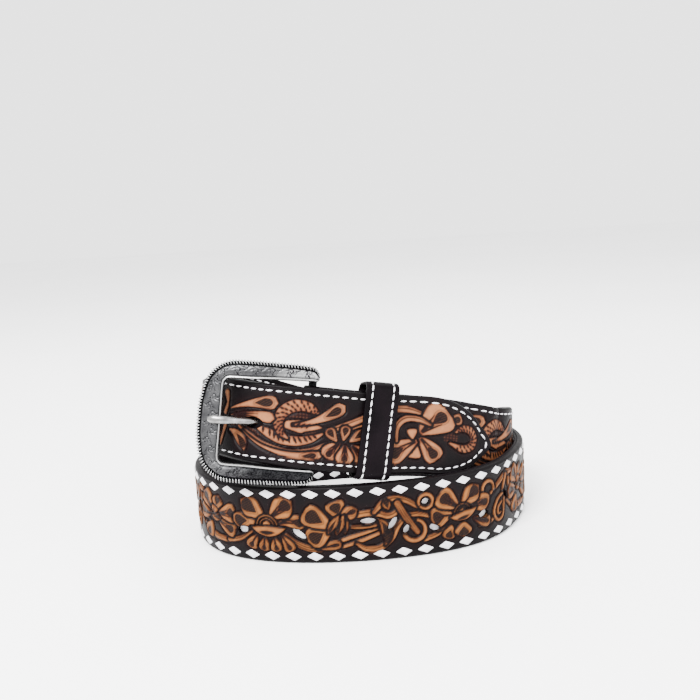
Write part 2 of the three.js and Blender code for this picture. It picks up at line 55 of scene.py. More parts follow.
# The coil, as the part's source has it: an oval, and rows of where the strap runs on it
coil = {"x": -1.9, "y": -0.6, "halfWidth": 91.0, "halfDepth": 67.0, "corner": 2.0, "barTurn": -0.0452,
        "steps": 6000}
runColumns = ("turn", "out", "foot", "lean")
runRows = [
    (-0.13, -4.5, 55.2, 14), (-0.08, -3, 51, 15), (-0.03, -6, 46.1, 15), (0.015, -11.9, 40.8, 15),
    (0.06, -15.9, 35.6, 15), (0.12, -17, 28.6, 12), (0.18, -12, 21.6, 6), (0.25, -4.2, 15, 0),
    (0.34, -5, 5, 0), (0.44, -6.4, 0, 0), (0.7, -6, 0, 0), (0.77, -1.6, 0, 0), (0.88, 0, 0, 0),
    (1.08, -1, 0, 0), (1.17, -2.4, 0, 0), (1.27, 2, 0, 0), (1.4, 1.5, 1.5, 0), (1.54, 1, 16, 0),
    (1.66, 0.5, 37, 2), (1.75, -3.2, 42, 8), (1.82, -3.6, 47.7, 11), (1.87, 0.2, 52, 14),
    (1.92, 2.6, 50.6, 15), (1.97, 0, 46.6, 15), (2.015, -5.2, 41.4, 15), (2.06, -9.4, 37.1, 15),
    (2.12, -10.4, 27.4, 12), (2.18, -5.7, 18.4, 6), (2.24, -1, 12, 0),
]
run = {name: np.array([row[i] for row in runRows], float) for i, name in enumerate(runColumns)}


# Smooth value between two neighbours, from their values and slopes
def between(u, low, high, lowSlope, highSlope):
    return ((2 * u**3 - 3 * u**2 + 1) * low + (u**3 - 2 * u**2 + u) * lowSlope
            + (3 * u**2 - 2 * u**3) * high + (u**3 - u**2) * highSlope)


# Value of a column at each turn, level where it stops rising or falling
def runValue(turn, column):
    turns, values = run["turn"], run[column]
    climb = np.diff(values) / np.diff(turns)
    before, after = np.concatenate([climb[:1], climb]), np.concatenate([climb, climb[-1:]])
    total = np.where(before + after == 0, 1, before + after)
    slope = np.where(before * after <= 0, 0, 2 * before * after / total)
    i = np.clip(np.searchsorted(turns, turn, side="left") - 1, 0, len(turns) - 2)
    span = turns[i + 1] - turns[i]
    return between((turn - turns[i]) / span, values[i], values[i + 1], span * slope[i], span * slope[i + 1])


def ovalPoint(turn):
    a = 2 * np.pi * turn
    x = coil["x"] + coil["halfWidth"] * np.sin(a) + coil["corner"] * np.sin(3 * a)
    y = coil["y"] - coil["halfDepth"] * np.cos(a) + coil["corner"] * np.cos(3 * a)
    return np.stack([x, y, 0 * x], -1)


def unit(v):
    return v / np.linalg.norm(v, axis=-1, keepdims=True)


# Lower edge of the carved face, and the level way out from it
def footPoint(turn):
    step = ovalPoint(turn + tiny) - ovalPoint(turn - tiny)
    out = unit(np.stack([step[..., 1], -step[..., 0], 0 * step[..., 0]], -1))
    foot = ovalPoint(turn) + out * runValue(turn, "out")[..., None]
    foot[..., 2] = runValue(turn, "foot")
    return foot, out


# Foot and square axes of the strap: ahead along it, up its width, out of its face
def station(turn):
    foot, level = footPoint(turn)
    ahead = unit(footPoint(turn + tiny)[0] - footPoint(turn - tiny)[0])
    lean = np.radians(runValue(turn, "lean"))[..., None]
    up = np.array([0, 0, 1.0]) * np.cos(lean) - level * np.sin(lean)
    up = unit(up - ahead * (ahead * up).sum(-1, keepdims=True))
    return foot, ahead, up, np.cross(ahead, up)


def runLengths(points):
    return np.concatenate([[0], np.cumsum(np.linalg.norm(np.diff(points, axis=0), axis=1))])


turnSteps = np.linspace(run["turn"][0], run["turn"][-1], coil["steps"] + 1)
lengthSteps = runLengths(footPoint(turnSteps)[0])
barStep = round((coil["barTurn"] - turnSteps[0]) / (turnSteps[-1] - turnSteps[0]) * coil["steps"])
lengthSteps = lengthSteps - lengthSteps[barStep]


# Flat strap place to coil place, in metres
def strapPlace(x, y, z):
    foot, _, up, out = station(np.interp(x, lengthSteps, turnSteps))
    return (foot + up * y[:, None] + out * z[:, None]) * metre


# The same for the billet that is folded round the bar: x under 0 goes round and comes back behind
fold = {"depth": 4.7, "leather": 2.2, "blend": 12.0, "end": 59.0, "return": 5.3}
foldRound = math.pi * fold["depth"]


def foldPlace(x, y, z):
    a = np.pi / 2 - x / fold["depth"]
    radius = fold["depth"] + z
    back = -(x + foldRound)
    drop = np.clip(back / fold["blend"], 0, 1)
    behind = -2 * fold["depth"] + (2 * fold["depth"] - fold["return"]) * drop
    s = np.where(x >= 0, x, np.where(back > 0, back, radius * np.cos(a)))
    n = np.where(x >= 0, z, np.where(back > 0, behind - z, radius * np.sin(a) - fold["depth"]))
    return strapPlace(s, y, n)


# Place on the rigid buckle, from the middle of its bar, with the gentle arch of the casting
buckle = {"length": 52.0, "arc": 95.0, "turn": -3.0, "roll": math.radians(2.6), "front": 7.0, "back": 3.3,
          "barDepth": -4.7, "barRadius": 2.1}


def barAxes():
    foot, ahead, up, out = (v[0] for v in station(np.array([coil["barTurn"]])))
    swing = np.array(Matrix.Rotation(math.radians(buckle["turn"]), 3, up.tolist()))
    return foot + up * midWidth, swing @ ahead, up, swing @ out


barOrigin, barAhead, barUp, barOut = barAxes()


def barPlace(x, y, z):
    return (barOrigin + np.outer(x, barAhead) + np.outer(y, barUp) + np.outer(z, barOut)) * metre


def archPlace(x, y, z):
    c, s = math.cos(buckle["roll"]), math.sin(buckle["roll"])
    return barPlace(x * c - y * s, x * s + y * c, z - (x + buckle["length"] / 2) ** 2 / (2 * buckle["arc"]))


def plainPlace(x, y, z):
    return np.stack([x, y, z], 1) * metre


# Lower and upper edge of the strap, drawn in over the tip
def strapEdges(x):
    share = np.clip((x - strap["length"] + strap["tipLength"]) / strap["tipLength"], 0, 1)
    half = midWidth * (1 - share ** strap["tipFullness"]) ** strap["tipBluntness"]
    middle = midWidth + strap["tipLift"] * share**2
    return middle - half, middle + half


def smooth(low, high, value):
    share = np.clip((value - low) / (high - low), 0, 1)
    return share * share * (3 - 2 * share)


# Falls from 1 to 0 with distance, as a slope or as a rounded groove
def fade(distance, reach):
    return np.exp(-np.clip(distance, 0, None) / reach)


def groove(distance, reach):
    return np.exp(-(distance / reach) ** 2)


# Smooth curve through a few points, one row each
def curveThrough(points, count):
    p = np.array(points, float)
    if len(p) == 2:
        return p[0] + np.linspace(0, 1, count)[:, None] * (p[1] - p[0])
    slope = np.gradient(p, axis=0)
    t = np.linspace(0, len(p) - 1, count)
    k = np.minimum(t.astype(int), len(p) - 2)
    return between((t - k)[:, None], p[k], p[k + 1], slope[k], slope[k + 1])


# Value of an even row of widths at each share along it
def shareValue(share, row):
    return np.interp(share, np.linspace(0, 1, len(row)), row)


# Offsets from the nearest place on a straight piece, and the share along it
def pieceOffset(x, y, start, way):
    dx, dy = way
    t = np.clip(((x - start[0]) * dx + (y - start[1]) * dy) / max(dx * dx + dy * dy, 1e-12), 0, 1)
    return x - start[0] - t * dx, y - start[1] - t * dy, t


# Signed distance to a closed outline, below 0 inside
def outlineDistance(x, y, outline):
    near = np.full(x.shape, 1e9)
    inside = np.zeros(x.shape, bool)
    for (ax, ay), (bx, by) in zip(outline, np.roll(outline, -1, 0)):
        dx, dy = bx - ax, by - ay
        ex, ey, _ = pieceOffset(x, y, (ax, ay), (dx, dy))
        near = np.minimum(near, ex**2 + ey**2)
        if ay != by:
            inside ^= ((ay > y) != (by > y)) & (x < ax + (y - ay) * dx / dy)
    return np.where(inside, -1, 1) * np.sqrt(near)


# Distance to the edge of a stroke of changing width, the share along it and the side offset
def strokeDistance(x, y, path, widths):
    halves = shareValue(np.linspace(0, 1, len(path)), widths) / 2
    best = np.full(x.shape, 1e9)
    along, side = np.zeros(x.shape), np.zeros(x.shape)
    for i, start in enumerate(path[:-1]):
        dx, dy = path[i + 1] - start
        ex, ey, t = pieceOffset(x, y, start, (dx, dy))
        gap = np.hypot(ex, ey)
        edge = gap - (halves[i] + (halves[i + 1] - halves[i]) * t)
        closer = edge < best
        best = np.where(closer, edge, best)
        along = np.where(closer, (i + t) / (len(path) - 1), along)
        side = np.where(closer, np.sign(dx * ey - dy * ex) * gap, side)
    return best, along, side


print("bench and coil ready")


def leaveObjects():
    if bpy.context.object and bpy.context.object.mode != "OBJECT":
        bpy.ops.object.mode_set(mode="OBJECT")
    bpy.ops.object.select_all(action="DESELECT")


def pick(obj):
    leaveObjects()
    obj.select_set(True)
    bpy.context.view_layer.objects.active = obj


# Adds one primitive with nothing else selected, and sets its size and place in its mesh
def addPrimitive(add, name, scale=(1, 1, 1), **shape):
    leaveObjects()
    add(**shape)
    made = bpy.context.object
    made.name, made.scale = name, scale
    bpy.ops.object.transform_apply(location=True, rotation=True, scale=True)
    return made


# Turns all faces outwards, and first gives an open sheet its thickness where one is asked for
def outward(obj, thick=0.0):
    pick(obj)
    bpy.ops.object.mode_set(mode="EDIT")
    bpy.ops.mesh.select_all(action="SELECT")
    if thick:
        bpy.ops.mesh.extrude_region_move(TRANSFORM_OT_translate={"value": (0, 0, -thick)})
        bpy.ops.mesh.select_all(action="SELECT")
    bpy.ops.mesh.normals_make_consistent(inside=False)
    bpy.ops.object.mode_set(mode="OBJECT")
    return obj


# Adds a modifier, sets it and applies it
def applyModifier(obj, kind, **settings):
    made = obj.modifiers.new("shape", kind)
    for key, value in settings.items():
        setattr(made, key, value)
    pick(obj)
    bpy.ops.object.modifier_apply(modifier=made.name)
    return obj


def roundEdges(obj, width, segments=3):
    return applyModifier(obj, "BEVEL", width=width, segments=segments, limit_method="ANGLE")


def flatPoints(obj):
    points = np.empty(len(obj.data.vertices) * 3)
    obj.data.vertices.foreach_get("co", points)
    return points.reshape(-1, 3)


def setPoints(obj, points):
    obj.data.vertices.foreach_set("co", points.ravel())
    obj.data.update()


# Marks that the materials read, in three channels
def setMarks(obj, first, second, third=0.0):
    marks = np.ones((len(obj.data.vertices), 4))
    marks[:, 0], marks[:, 1], marks[:, 2] = first, second, third
    layer = obj.data.attributes.new("tooling", "FLOAT_COLOR", "POINT")
    layer.data.foreach_set("color", marks.ravel())


def layOn(obj, place, nodes, finish, angle=38):
    setPoints(obj, place(*flatPoints(obj).T))
    obj.data.materials.clear()
    obj.data.materials.append(finish)
    pick(obj)
    bpy.ops.object.shade_smooth_by_angle(angle=math.radians(angle))
    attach(obj, "root")
    if nodes:
        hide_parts(*nodes)


def meshPiece(name, points, faces):
    mesh = bpy.data.meshes.new(name)
    mesh.from_pydata(points, [], faces)
    mesh.update()
    obj = bpy.data.objects.new(name, mesh)
    bpy.context.collection.objects.link(obj)
    return obj


# Faces between rings of points: the last ring meets the first, or both ends are closed off
def ringFaces(rings, count, closed=False):
    faces = []
    for i in range(rings if closed else rings - 1):
        near, far = i * count, (i + 1) % rings * count
        faces += [(near + k, near + (k + 1) % count, far + (k + 1) % count, far + k) for k in range(count)]
    last = (rings - 1) * count
    return faces if closed else faces + [tuple(range(count)), tuple(range(last, last + count))]


# Joins copies of a small flat shape, each turned and moved, into one piece
def scatter(name, master, places):
    px, py, pz = flatPoints(master).T
    faces = [tuple(p.vertices) for p in master.data.polygons]
    points, allFaces = [], []
    for x, y, z, turn, flip in places:
        c, s = math.cos(turn), math.sin(turn)
        start = len(points) * len(px)
        points.append(np.stack([x + px * c - py * s, y + px * s + py * c, z + pz * flip], 1))
        allFaces += [tuple(v + start for v in face[::flip]) for face in faces]
    bpy.data.objects.remove(master)
    return meshPiece(name, np.concatenate(points), allFaces)


# Materials
def newMaterial(name):
    mat = bpy.data.materials.new(name)
    mat.use_nodes = True
    tree = mat.node_tree
    tree.nodes.clear()
    out = tree.nodes.new("ShaderNodeOutputMaterial")
    shader = tree.nodes.new("ShaderNodeBsdfPrincipled")
    tree.links.new(shader.outputs[0], out.inputs[0])
    return mat, tree, shader


def node(tree, kind, inputs=None, **settings):
    made = tree.nodes.new("ShaderNode" + kind)
    for key, value in settings.items():
        setattr(made, key, value)
    for key, value in (inputs or {}).items():
        if hasattr(value, "is_linked"):
            tree.links.new(value, made.inputs[key])
        else:
            made.inputs[key].default_value = value
    return made


def objectNoise(tree, scale, detail):
    where = node(tree, "TexCoord").outputs["Object"]
    settings = {"Vector": where, "Scale": scale, "Detail": detail, "Roughness": 0.55}
    return node(tree, "TexNoise", settings).outputs[0]


def ramp(tree, value, low, high, toLow=0.0, toHigh=1.0):
    return node(tree, "MapRange", {0: value, 1: low, 2: high, 3: toLow, 4: toHigh}).outputs[0]


# Soft patches: noise of one scale and detail, spread between two levels
def patches(tree, scale, detail, low, high, top=1.0):
    return ramp(tree, objectNoise(tree, scale, detail), low, high, 0, top)


def mixColour(tree, share, a, b):
    return node(tree, "Mix", {0: share, 6: a, 7: b}, data_type="RGBA").outputs[2]


def times(tree, a, b):
    return node(tree, "Math", {0: a, 1: b}, operation="MULTIPLY").outputs[0]


def plus(tree, a, b, clamp=False):
    return node(tree, "Math", {0: a, 1: b}, operation="ADD", use_clamp=clamp).outputs[0]


grain = {"scale": 1500.0, "edge": 0.22}


def leatherGrain(tree, share):
    where = node(tree, "TexCoord").outputs["Object"]
    cells = node(tree, "TexVoronoi", {"Vector": where, "Scale": grain["scale"]}, feature="DISTANCE_TO_EDGE")
    return times(tree, ramp(tree, cells.outputs[0], 0, grain["edge"]), share)


def readMarks(tree):
    marks = node(tree, "VertexColor", layer_name="tooling").outputs[0]
    return node(tree, "SeparateColor", {0: marks}).outputs


# Colour, roughness and relief go to the shader by links, and what is even all over by its sockets
def dress(tree, shader, colour, rough, height, depth, **even):
    relief = node(tree, "Bump", {"Height": height, "Distance": depth, "Strength": 1.0}).outputs[0]
    for socket, value in (("Base Color", colour), ("Roughness", rough), ("Normal", relief)):
        tree.links.new(value, shader.inputs[socket])
    for socket, value in even.items():
        shader.inputs[socket.replace("_", " ")].default_value = value


darkLook = {"deep": (0.0010, 0.0006, 0.0009, 1), "worn": (0.0028, 0.0017, 0.0024, 1),
            "mottle": (55, 4, 0.36, 0.68),
            "rough": (0.36, 0.5), "grain": 0.35, "pores": 420, "relief": 0.00006, "gloss": 0.025}


# Plain dark leather: fine grain, faint pull-up mottling, satin
def darkLeather():
    mat, tree, shader = newMaterial("dark_leather")
    mottle = patches(tree, *darkLook["mottle"])
    colour = mixColour(tree, mottle, darkLook["deep"], darkLook["worn"])
    height = plus(tree, leatherGrain(tree, darkLook["grain"]), objectNoise(tree, darkLook["pores"], 4))
    dress(tree, shader, colour, ramp(tree, mottle, 0, 1, *darkLook["rough"]), height, darkLook["relief"],
          Specular_IOR_Level=darkLook["gloss"])
    return mat


tanLook = {
    "golden": (0.17, 0.064, 0.017, 1), "goldenDeep": (0.056, 0.015, 0.0045, 1),
    "rose": (0.20, 0.08, 0.034, 1), "roseDeep": (0.07, 0.02, 0.009, 1),
    "cut": (0.0012, 0.0006, 0.0005, 1), "ground": (0.0011, 0.0006, 0.0009, 1),
    "halo": (0.0075, 0.0013, 0.0011, 1),
    "patch": (260, 4, 0.3, 0.72), "patchTone": 0.42, "patchRough": 0.08, "rough": (0.42, 0.5),
    "grain": 0.3, "fibre": 2100, "relief": 0.00005, "gloss": 0.05,
}


# Tooled leather: tan where it is raised, antiqued in its cuts, dark dyed ground between
def tooledLeather(name, light, deep):
    mat, tree, shader = newMaterial(name)
    tan, shade, warm = readMarks(tree)[:3]
    patchy = patches(tree, *tanLook["patch"])
    tone = plus(tree, times(tree, patchy, tanLook["patchTone"]), warm, clamp=True)
    top = mixColour(tree, shade, mixColour(tree, tone, light, deep), tanLook["cut"])
    colour = mixColour(tree, tan, mixColour(tree, warm, tanLook["ground"], tanLook["halo"]), top)
    rough = plus(tree, ramp(tree, tan, 0, 1, *tanLook["rough"]), times(tree, patchy, tanLook["patchRough"]))
    height = plus(tree, leatherGrain(tree, tanLook["grain"]), objectNoise(tree, tanLook["fibre"], 2))
    dress(tree, shader, colour, rough, height, tanLook["relief"], Specular_IOR_Level=tanLook["gloss"])
    return mat


whiteLook = {"clean": (0.60, 0.59, 0.61, 1), "dull": (0.40, 0.385, 0.395, 1), "patch": (340, 4, 0.3, 0.75),
             "rough": (0.5, 0.66), "relief": 0.00006, "sheen": 0.08, "laceFibre": 1500, "threadFibre": 4200}


# White lace and thread
def whiteLeather(name, fibre):
    mat, tree, shader = newMaterial(name)
    patchy = patches(tree, *whiteLook["patch"])
    colour = mixColour(tree, patchy, whiteLook["clean"], whiteLook["dull"])
    dress(tree, shader, colour, ramp(tree, patchy, 0, 1, *whiteLook["rough"]), objectNoise(tree, fibre, 4),
          whiteLook["relief"], Sheen_Weight=whiteLook["sheen"])
    return mat


silverLook = {"bright": (0.075, 0.075, 0.077, 1), "dull": (0.032, 0.032, 0.034, 1),
              "rubbedAndHighlight": (0.32, 0.32, 0.32, 1),
              "darkTarnishAndReflection": (0.002, 0.002, 0.0025, 1), "cloud": (150, 5, 0.32, 0.7),
              "speck": (1500, 3, 0.5, 0.72, 0.55),
              "rough": (0.3, 0.62), "pits": 900, "relief": 0.00004}


# Antique silver: dark in what is cut or low, rubbed bright on what stands up; the same marks also carry a painted
# dark reflection on the lower arm and a painted highlight on the top arm's end
def antiqueSilver():
    mat, tree, shader = newMaterial("antique_silver")
    low, rubbedAndHighlight = readMarks(tree)[:2]
    plain = mixColour(tree, patches(tree, *silverLook["cloud"]), silverLook["bright"], silverLook["dull"])
    plain = mixColour(tree, rubbedAndHighlight, plain, silverLook["rubbedAndHighlight"])
    tarnishAndDarkReflection = plus(tree, low, patches(tree, *silverLook["speck"]), clamp=True)
    colour = mixColour(tree, tarnishAndDarkReflection, plain, silverLook["darkTarnishAndReflection"])
    rough = ramp(tree, tarnishAndDarkReflection, 0, 1, *silverLook["rough"])
    dress(tree, shader, colour, rough, objectNoise(tree, silverLook["pits"], 5), silverLook["relief"], Metallic=1.0)
    return mat


pinLook = {"bright": (0.24, 0.236, 0.23, 1), "dull": (0.10, 0.098, 0.096, 1), "cloud": (220, 4, 0.35, 0.7),
           "rough": (0.22, 0.36), "pits": 1600, "relief": 0.00002}


def brightSilver():
    mat, tree, shader = newMaterial("bright_silver")
    cloud = patches(tree, *pinLook["cloud"])
    colour = mixColour(tree, cloud, pinLook["bright"], pinLook["dull"])
    dress(tree, shader, colour, ramp(tree, cloud, 0, 1, *pinLook["rough"]), objectNoise(tree, pinLook["pits"], 4),
          pinLook["relief"], Metallic=1.0)
    return mat


plainDark = darkLeather()
goldenTooled = tooledLeather("golden_tooled_leather", tanLook["golden"], tanLook["goldenDeep"])
roseTooled = tooledLeather("rose_tooled_leather", tanLook["rose"], tanLook["roseDeep"])
laceWhite = whiteLeather("white_lace", whiteLook["laceFibre"])
threadWhite = whiteLeather("white_thread", whiteLook["threadFibre"])
castSilver = antiqueSilver()
pinSilver = brightSilver()
print("finishes ready")

# Tooling: each leaf, stem and scroll presses its own shape into a sheet of fields
tooling = {"rise": 0.6, "shoulder": 0.42, "dome": 1.0, "soft": 0.2, "cutAt": 0.4, "cutWidth": 0.5,
           "cutDepth": 0.5,
           "lineDark": 2.0, "lineBare": 0.75, "haloReach": 1.3, "halo": 0.6, "edgeReach": 0.5,
           "edgeWarm": 0.85,
           "edgeDark": 0.45, "pressReach": 0.5, "pressWarm": 0.6, "pressBare": 0.8}
hollow = {"wide": 1.15, "end": 0.9, "depth": 0.3, "dark": 0.97, "rimLine": 0.85, "rimWide": 0.3,
          "rimDark": 0.5,
          "hatch": 0.17, "hatchPitch": 1.05}
vein = {"widths": (0.95, 0.7, 0.05), "depth": 0.22, "dark": 0.95}
leafForms = {  # share along, share of the half width
    "round": [(0, 0.16), (0.2, 0.5), (0.5, 0.92), (0.76, 1), (0.93, 0.68), (1, 0)],
    "pointed": [(0, 0.16), (0.25, 0.62), (0.55, 1), (0.8, 0.74), (1, 0)],
    "square": [(0, 0.18), (0.3, 0.62), (0.7, 1), (0.94, 0.86), (1, 0.4)],
    "club": [(0, 0.1), (0.35, 0.4), (0.65, 0.76), (0.86, 1), (0.97, 0.66), (1, 0)],
    "almond": [(0, 0), (0.25, 0.72), (0.5, 1), (0.75, 0.72), (1, 0)],
    "hollow": [(0, 0), (0.3, 0.55), (0.62, 1), (0.88, 0.86), (1, 0.2)],
}


# Place along the curved middle line of a leaf, and the way it points there
def leafAxis(leaf, shares):
    fine = np.linspace(0, 1, 49)
    aim = np.radians(leaf["angle"] + leaf["bend"] * fine)
    step = leaf["length"] / 48
    xs = leaf["x"] + np.concatenate([[0], np.cumsum(np.cos(aim[:-1]))]) * step
    ys = leaf["y"] + np.concatenate([[0], np.cumsum(np.sin(aim[:-1]))]) * step
    return np.interp(shares, fine, xs), np.interp(shares, fine, ys), np.interp(shares, fine, aim)


def leafOutline(leaf, form, start=0.0, end=1.0, width=1.0):
    shares = np.linspace(0, 1, 17)
    half = np.clip(np.interp(shares, *curveThrough(leafForms[form], 60).T), 0, None) * leaf["width"] * width / 2
    xs, ys, aim = leafAxis(leaf, start + (end - start) * shares)
    left = np.stack([xs - half * np.sin(aim), ys + half * np.cos(aim)], 1)
    right = np.stack([xs + half * np.sin(aim), ys - half * np.cos(aim)], 1)
    return np.concatenate([left, right[::-1]])


def makeSheet(xLine, yLine, edges=None):
    x, y = np.meshgrid(xLine, yLine, indexing="ij")
    if edges:
        low, high = edges(x)
        y = low + (high - low) * y / strap["width"]
    return {"x": x, "y": y, "xLine": xLine, **{key: np.zeros(x.shape) for key in ("z", "tan", "shade", "warm")}}


# The part of a sheet near some places, as views that carving changes; None where the sheet doesn't reach
def partNear(sheet, xs, margin=2.0):
    first, last = np.searchsorted(sheet["xLine"], (min(xs) - margin, max(xs) + margin))
    return {key: field[first:last] for key, field in sheet.items()} if last - first > 1 else None


# Raises a shape, with a pressed cut all round it
def raiseShape(part, distance, rise):
    inside = smooth(tooling["soft"], -tooling["soft"], distance)
    outside = 1 - inside
    line = groove(distance - tooling["cutAt"], tooling["cutWidth"])
    edge = fade(-distance, tooling["edgeReach"])
    domed = rise * (tooling["shoulder"] + (1 - tooling["shoulder"]) * smooth(0, tooling["dome"], -distance))
    part["z"][:] = part["z"] * outside + domed * inside
    part["z"] -= tooling["cutDepth"] * line * outside * (part["z"] > -0.2)
    halo = fade(distance, tooling["haloReach"]) * tooling["halo"]
    part["warm"][:] = np.maximum(part["warm"], halo) * outside * (1 - line)
    part["warm"] += inside * tooling["edgeWarm"] * edge
    part["tan"][:] = part["tan"] * outside + inside
    part["shade"][:] = part["shade"] * outside + inside * tooling["edgeDark"] * edge**2
    np.clip(part["shade"] + line * (1 - 0.6 * inside) * tooling["lineDark"], 0, 1, out=part["shade"])
    part["tan"] *= 1 - tooling["lineBare"] * np.clip(line * 1.3, 0, 1) * outside


# Presses a shape in and darkens it, with the tan worn off it
def pressShape(part, distance, depth, dark=1.0):
    inside = smooth(0.3, -0.2, distance)
    part["z"] -= depth * inside
    np.clip(part["shade"] + inside * dark, 0, 1, out=part["shade"])
    if "tan" in part:
        part["tan"] *= 1 - tooling["pressBare"] * dark * inside
        around = tooling["pressWarm"] * dark * fade(distance, tooling["pressReach"])
        np.clip((part["warm"] + around) * (1 - 0.7 * inside), 0, 1, out=part["warm"])


def pressStroke(sheet, path, widths, depth=0.2, dark=0.85):
    path = np.array(path, float)
    part = partNear(sheet, path[:, 0])
    if part:
        pressShape(part, strokeDistance(part["x"], part["y"], path, widths)[0], depth, dark)


# A leaf or petal: its outline, a dark hollow, and cuts that fan out from its foot
def carveLeaf(sheet, leaf, rise=tooling["rise"]):
    outline = leafOutline(leaf, leaf["form"])
    part = partNear(sheet, outline[:, 0])
    if not part:
        return
    x, y = part["x"], part["y"]
    body = outlineDistance(x, y, outline)
    raiseShape(part, body, rise)
    if leaf["hollow"]:
        inner = leafOutline(leaf, "hollow", leaf["hollowFrom"], hollow["end"], leaf["hollow"] * hollow["wide"])
        distance = outlineDistance(x, y, inner)
        pressShape(part, distance, hollow["depth"], hollow["dark"])
        rim = groove(distance - hollow["rimLine"], hollow["rimWide"]) * smooth(0, -0.5, body)
        np.clip(part["shade"] + hollow["rimDark"] * rim, 0, 1, out=part["shade"])
        lines = np.cos(2 * np.pi * (x * 0.5 - y * 0.86) / hollow["hatchPitch"])
        hatch = smooth(0.55, 0.95, lines) * smooth(-0.1, -0.5, distance)
        np.maximum(part["tan"], hollow["hatch"] * hatch, out=part["tan"])
        part["shade"] *= 1 - 0.5 * hatch
    for k in range(leaf["veins"]):
        lean = (k - (leaf["veins"] - 1) / 2) / max(leaf["veins"], 2)
        shares = np.linspace(0.08, 0.72 - 0.3 * abs(lean), 9)
        xs, ys, aim = leafAxis(leaf, shares)
        off = lean * leaf["width"] * 0.85 * shares
        path = np.stack([xs - off * np.sin(aim), ys + off * np.cos(aim)], 1)
        pressStroke(sheet, path, vein["widths"], vein["depth"], vein["dark"])


stem = {"one": (0.3,), "two": (-0.34, 0.34), "wide": 0.28, "most": 0.24, "depth": 0.16, "dark": 0.75}


# A stem: a rounded band with one or two lines cut along it
def carveStem(sheet, path, widths, lines=1, rise=tooling["rise"]):
    fine = curveThrough(path, 12 * len(path))
    part = partNear(sheet, fine[:, 0], 3.5)
    if not part:
        return
    distance, along, side = strokeDistance(part["x"], part["y"], fine, widths)
    raiseShape(part, distance, rise)
    half = shareValue(along, widths) / 2
    for offset in ((), stem["one"], stem["two"])[lines]:
        wide = np.clip(half * stem["wide"], 0, stem["most"]) * np.sin(np.pi * np.clip(along, 0, 1))
        line = np.maximum(np.abs(side - offset * half) - wide, distance)
        pressShape(part, line, stem["depth"], stem["dark"])


def ringPath(x, y, radius, start=0.0, end=360.0, spiral=0.0):
    a = np.radians(np.linspace(start, end, 25))
    r = radius * (1 - spiral * np.linspace(0, 1, 25))
    return np.stack([x + r * np.cos(a), y + r * np.sin(a)], 1)


feather = {"first": 0.06, "span": 0.88, "slant": 0.5, "reach": 0.62, "depth": 0.25, "dark": 0.97,
           "single": (0.5, 1.2, 0.7), "several": (0.5, 0.95, 0.7)}


# A serrated scroll: a band set with rows of short slanting pits
def carveFeather(sheet, path, widths, bars, rows):
    carveStem(sheet, path, widths, lines=0)
    fine = curveThrough(path, 90)
    aim = np.arctan2(*np.gradient(fine, axis=0).T[::-1])
    pitWidths = feather["single" if len(rows) == 1 else "several"]
    for r, offset in enumerate(rows):
        for k in range(bars):
            at = feather["first"] + (k + 0.5 * (r % 2)) / bars * feather["span"]
            i = int(at * 89)
            half = shareValue(at, widths) / 2
            slanted = aim[i] + feather["slant"]
            reach = np.array([-math.sin(slanted), math.cos(slanted)]) * half * feather["reach"] / len(rows)
            middle = fine[i] + np.array([-math.sin(aim[i]), math.cos(aim[i])]) * half * offset
            pit = [middle - reach, middle, middle + reach]
            pressStroke(sheet, pit, pitWidths, feather["depth"], feather["dark"])


matting = {"pitch": 0.95, "relief": 0.12, "tan": 0.3, "warm": 0.6}


# Fine matting pressed into the ground round a place
def matGround(sheet, x, y, radius):
    part = partNear(sheet, (x - radius, x + radius), 1)
    if not part:
        return
    px, py = part["x"], part["y"]
    inside = smooth(radius, radius * 0.7, np.hypot(px - x, (py - y) * 1.3)) * (1 - part["tan"])
    weave = np.cos(2 * np.pi * (px + py) / matting["pitch"]) * np.cos(2 * np.pi * (px - py) / matting["pitch"])
    part["z"] += matting["relief"] * weave * inside
    part["tan"] += inside * np.clip(weave, 0, 1) * matting["tan"]
    part["warm"] += inside * matting["warm"]


leafColumns = ("x", "y", "angle", "length", "width", "bend", "form", "hollow", "hollowFrom", "veins")


def carveLeaves(sheet, rows, shift, fuller=1.0):
    for row in rows:
        leaf = dict(zip(leafColumns, row))
        carveLeaf(sheet, {**leaf, "x": leaf["x"] + shift, "width": leaf["width"] * fuller})


def shifted(path, shift):
    return [(x + shift, y) for x, y in path]


def carveStems(sheet, rows, shift):
    for path, widths, lines in rows:
        carveStem(sheet, shifted(path, shift), widths, lines)


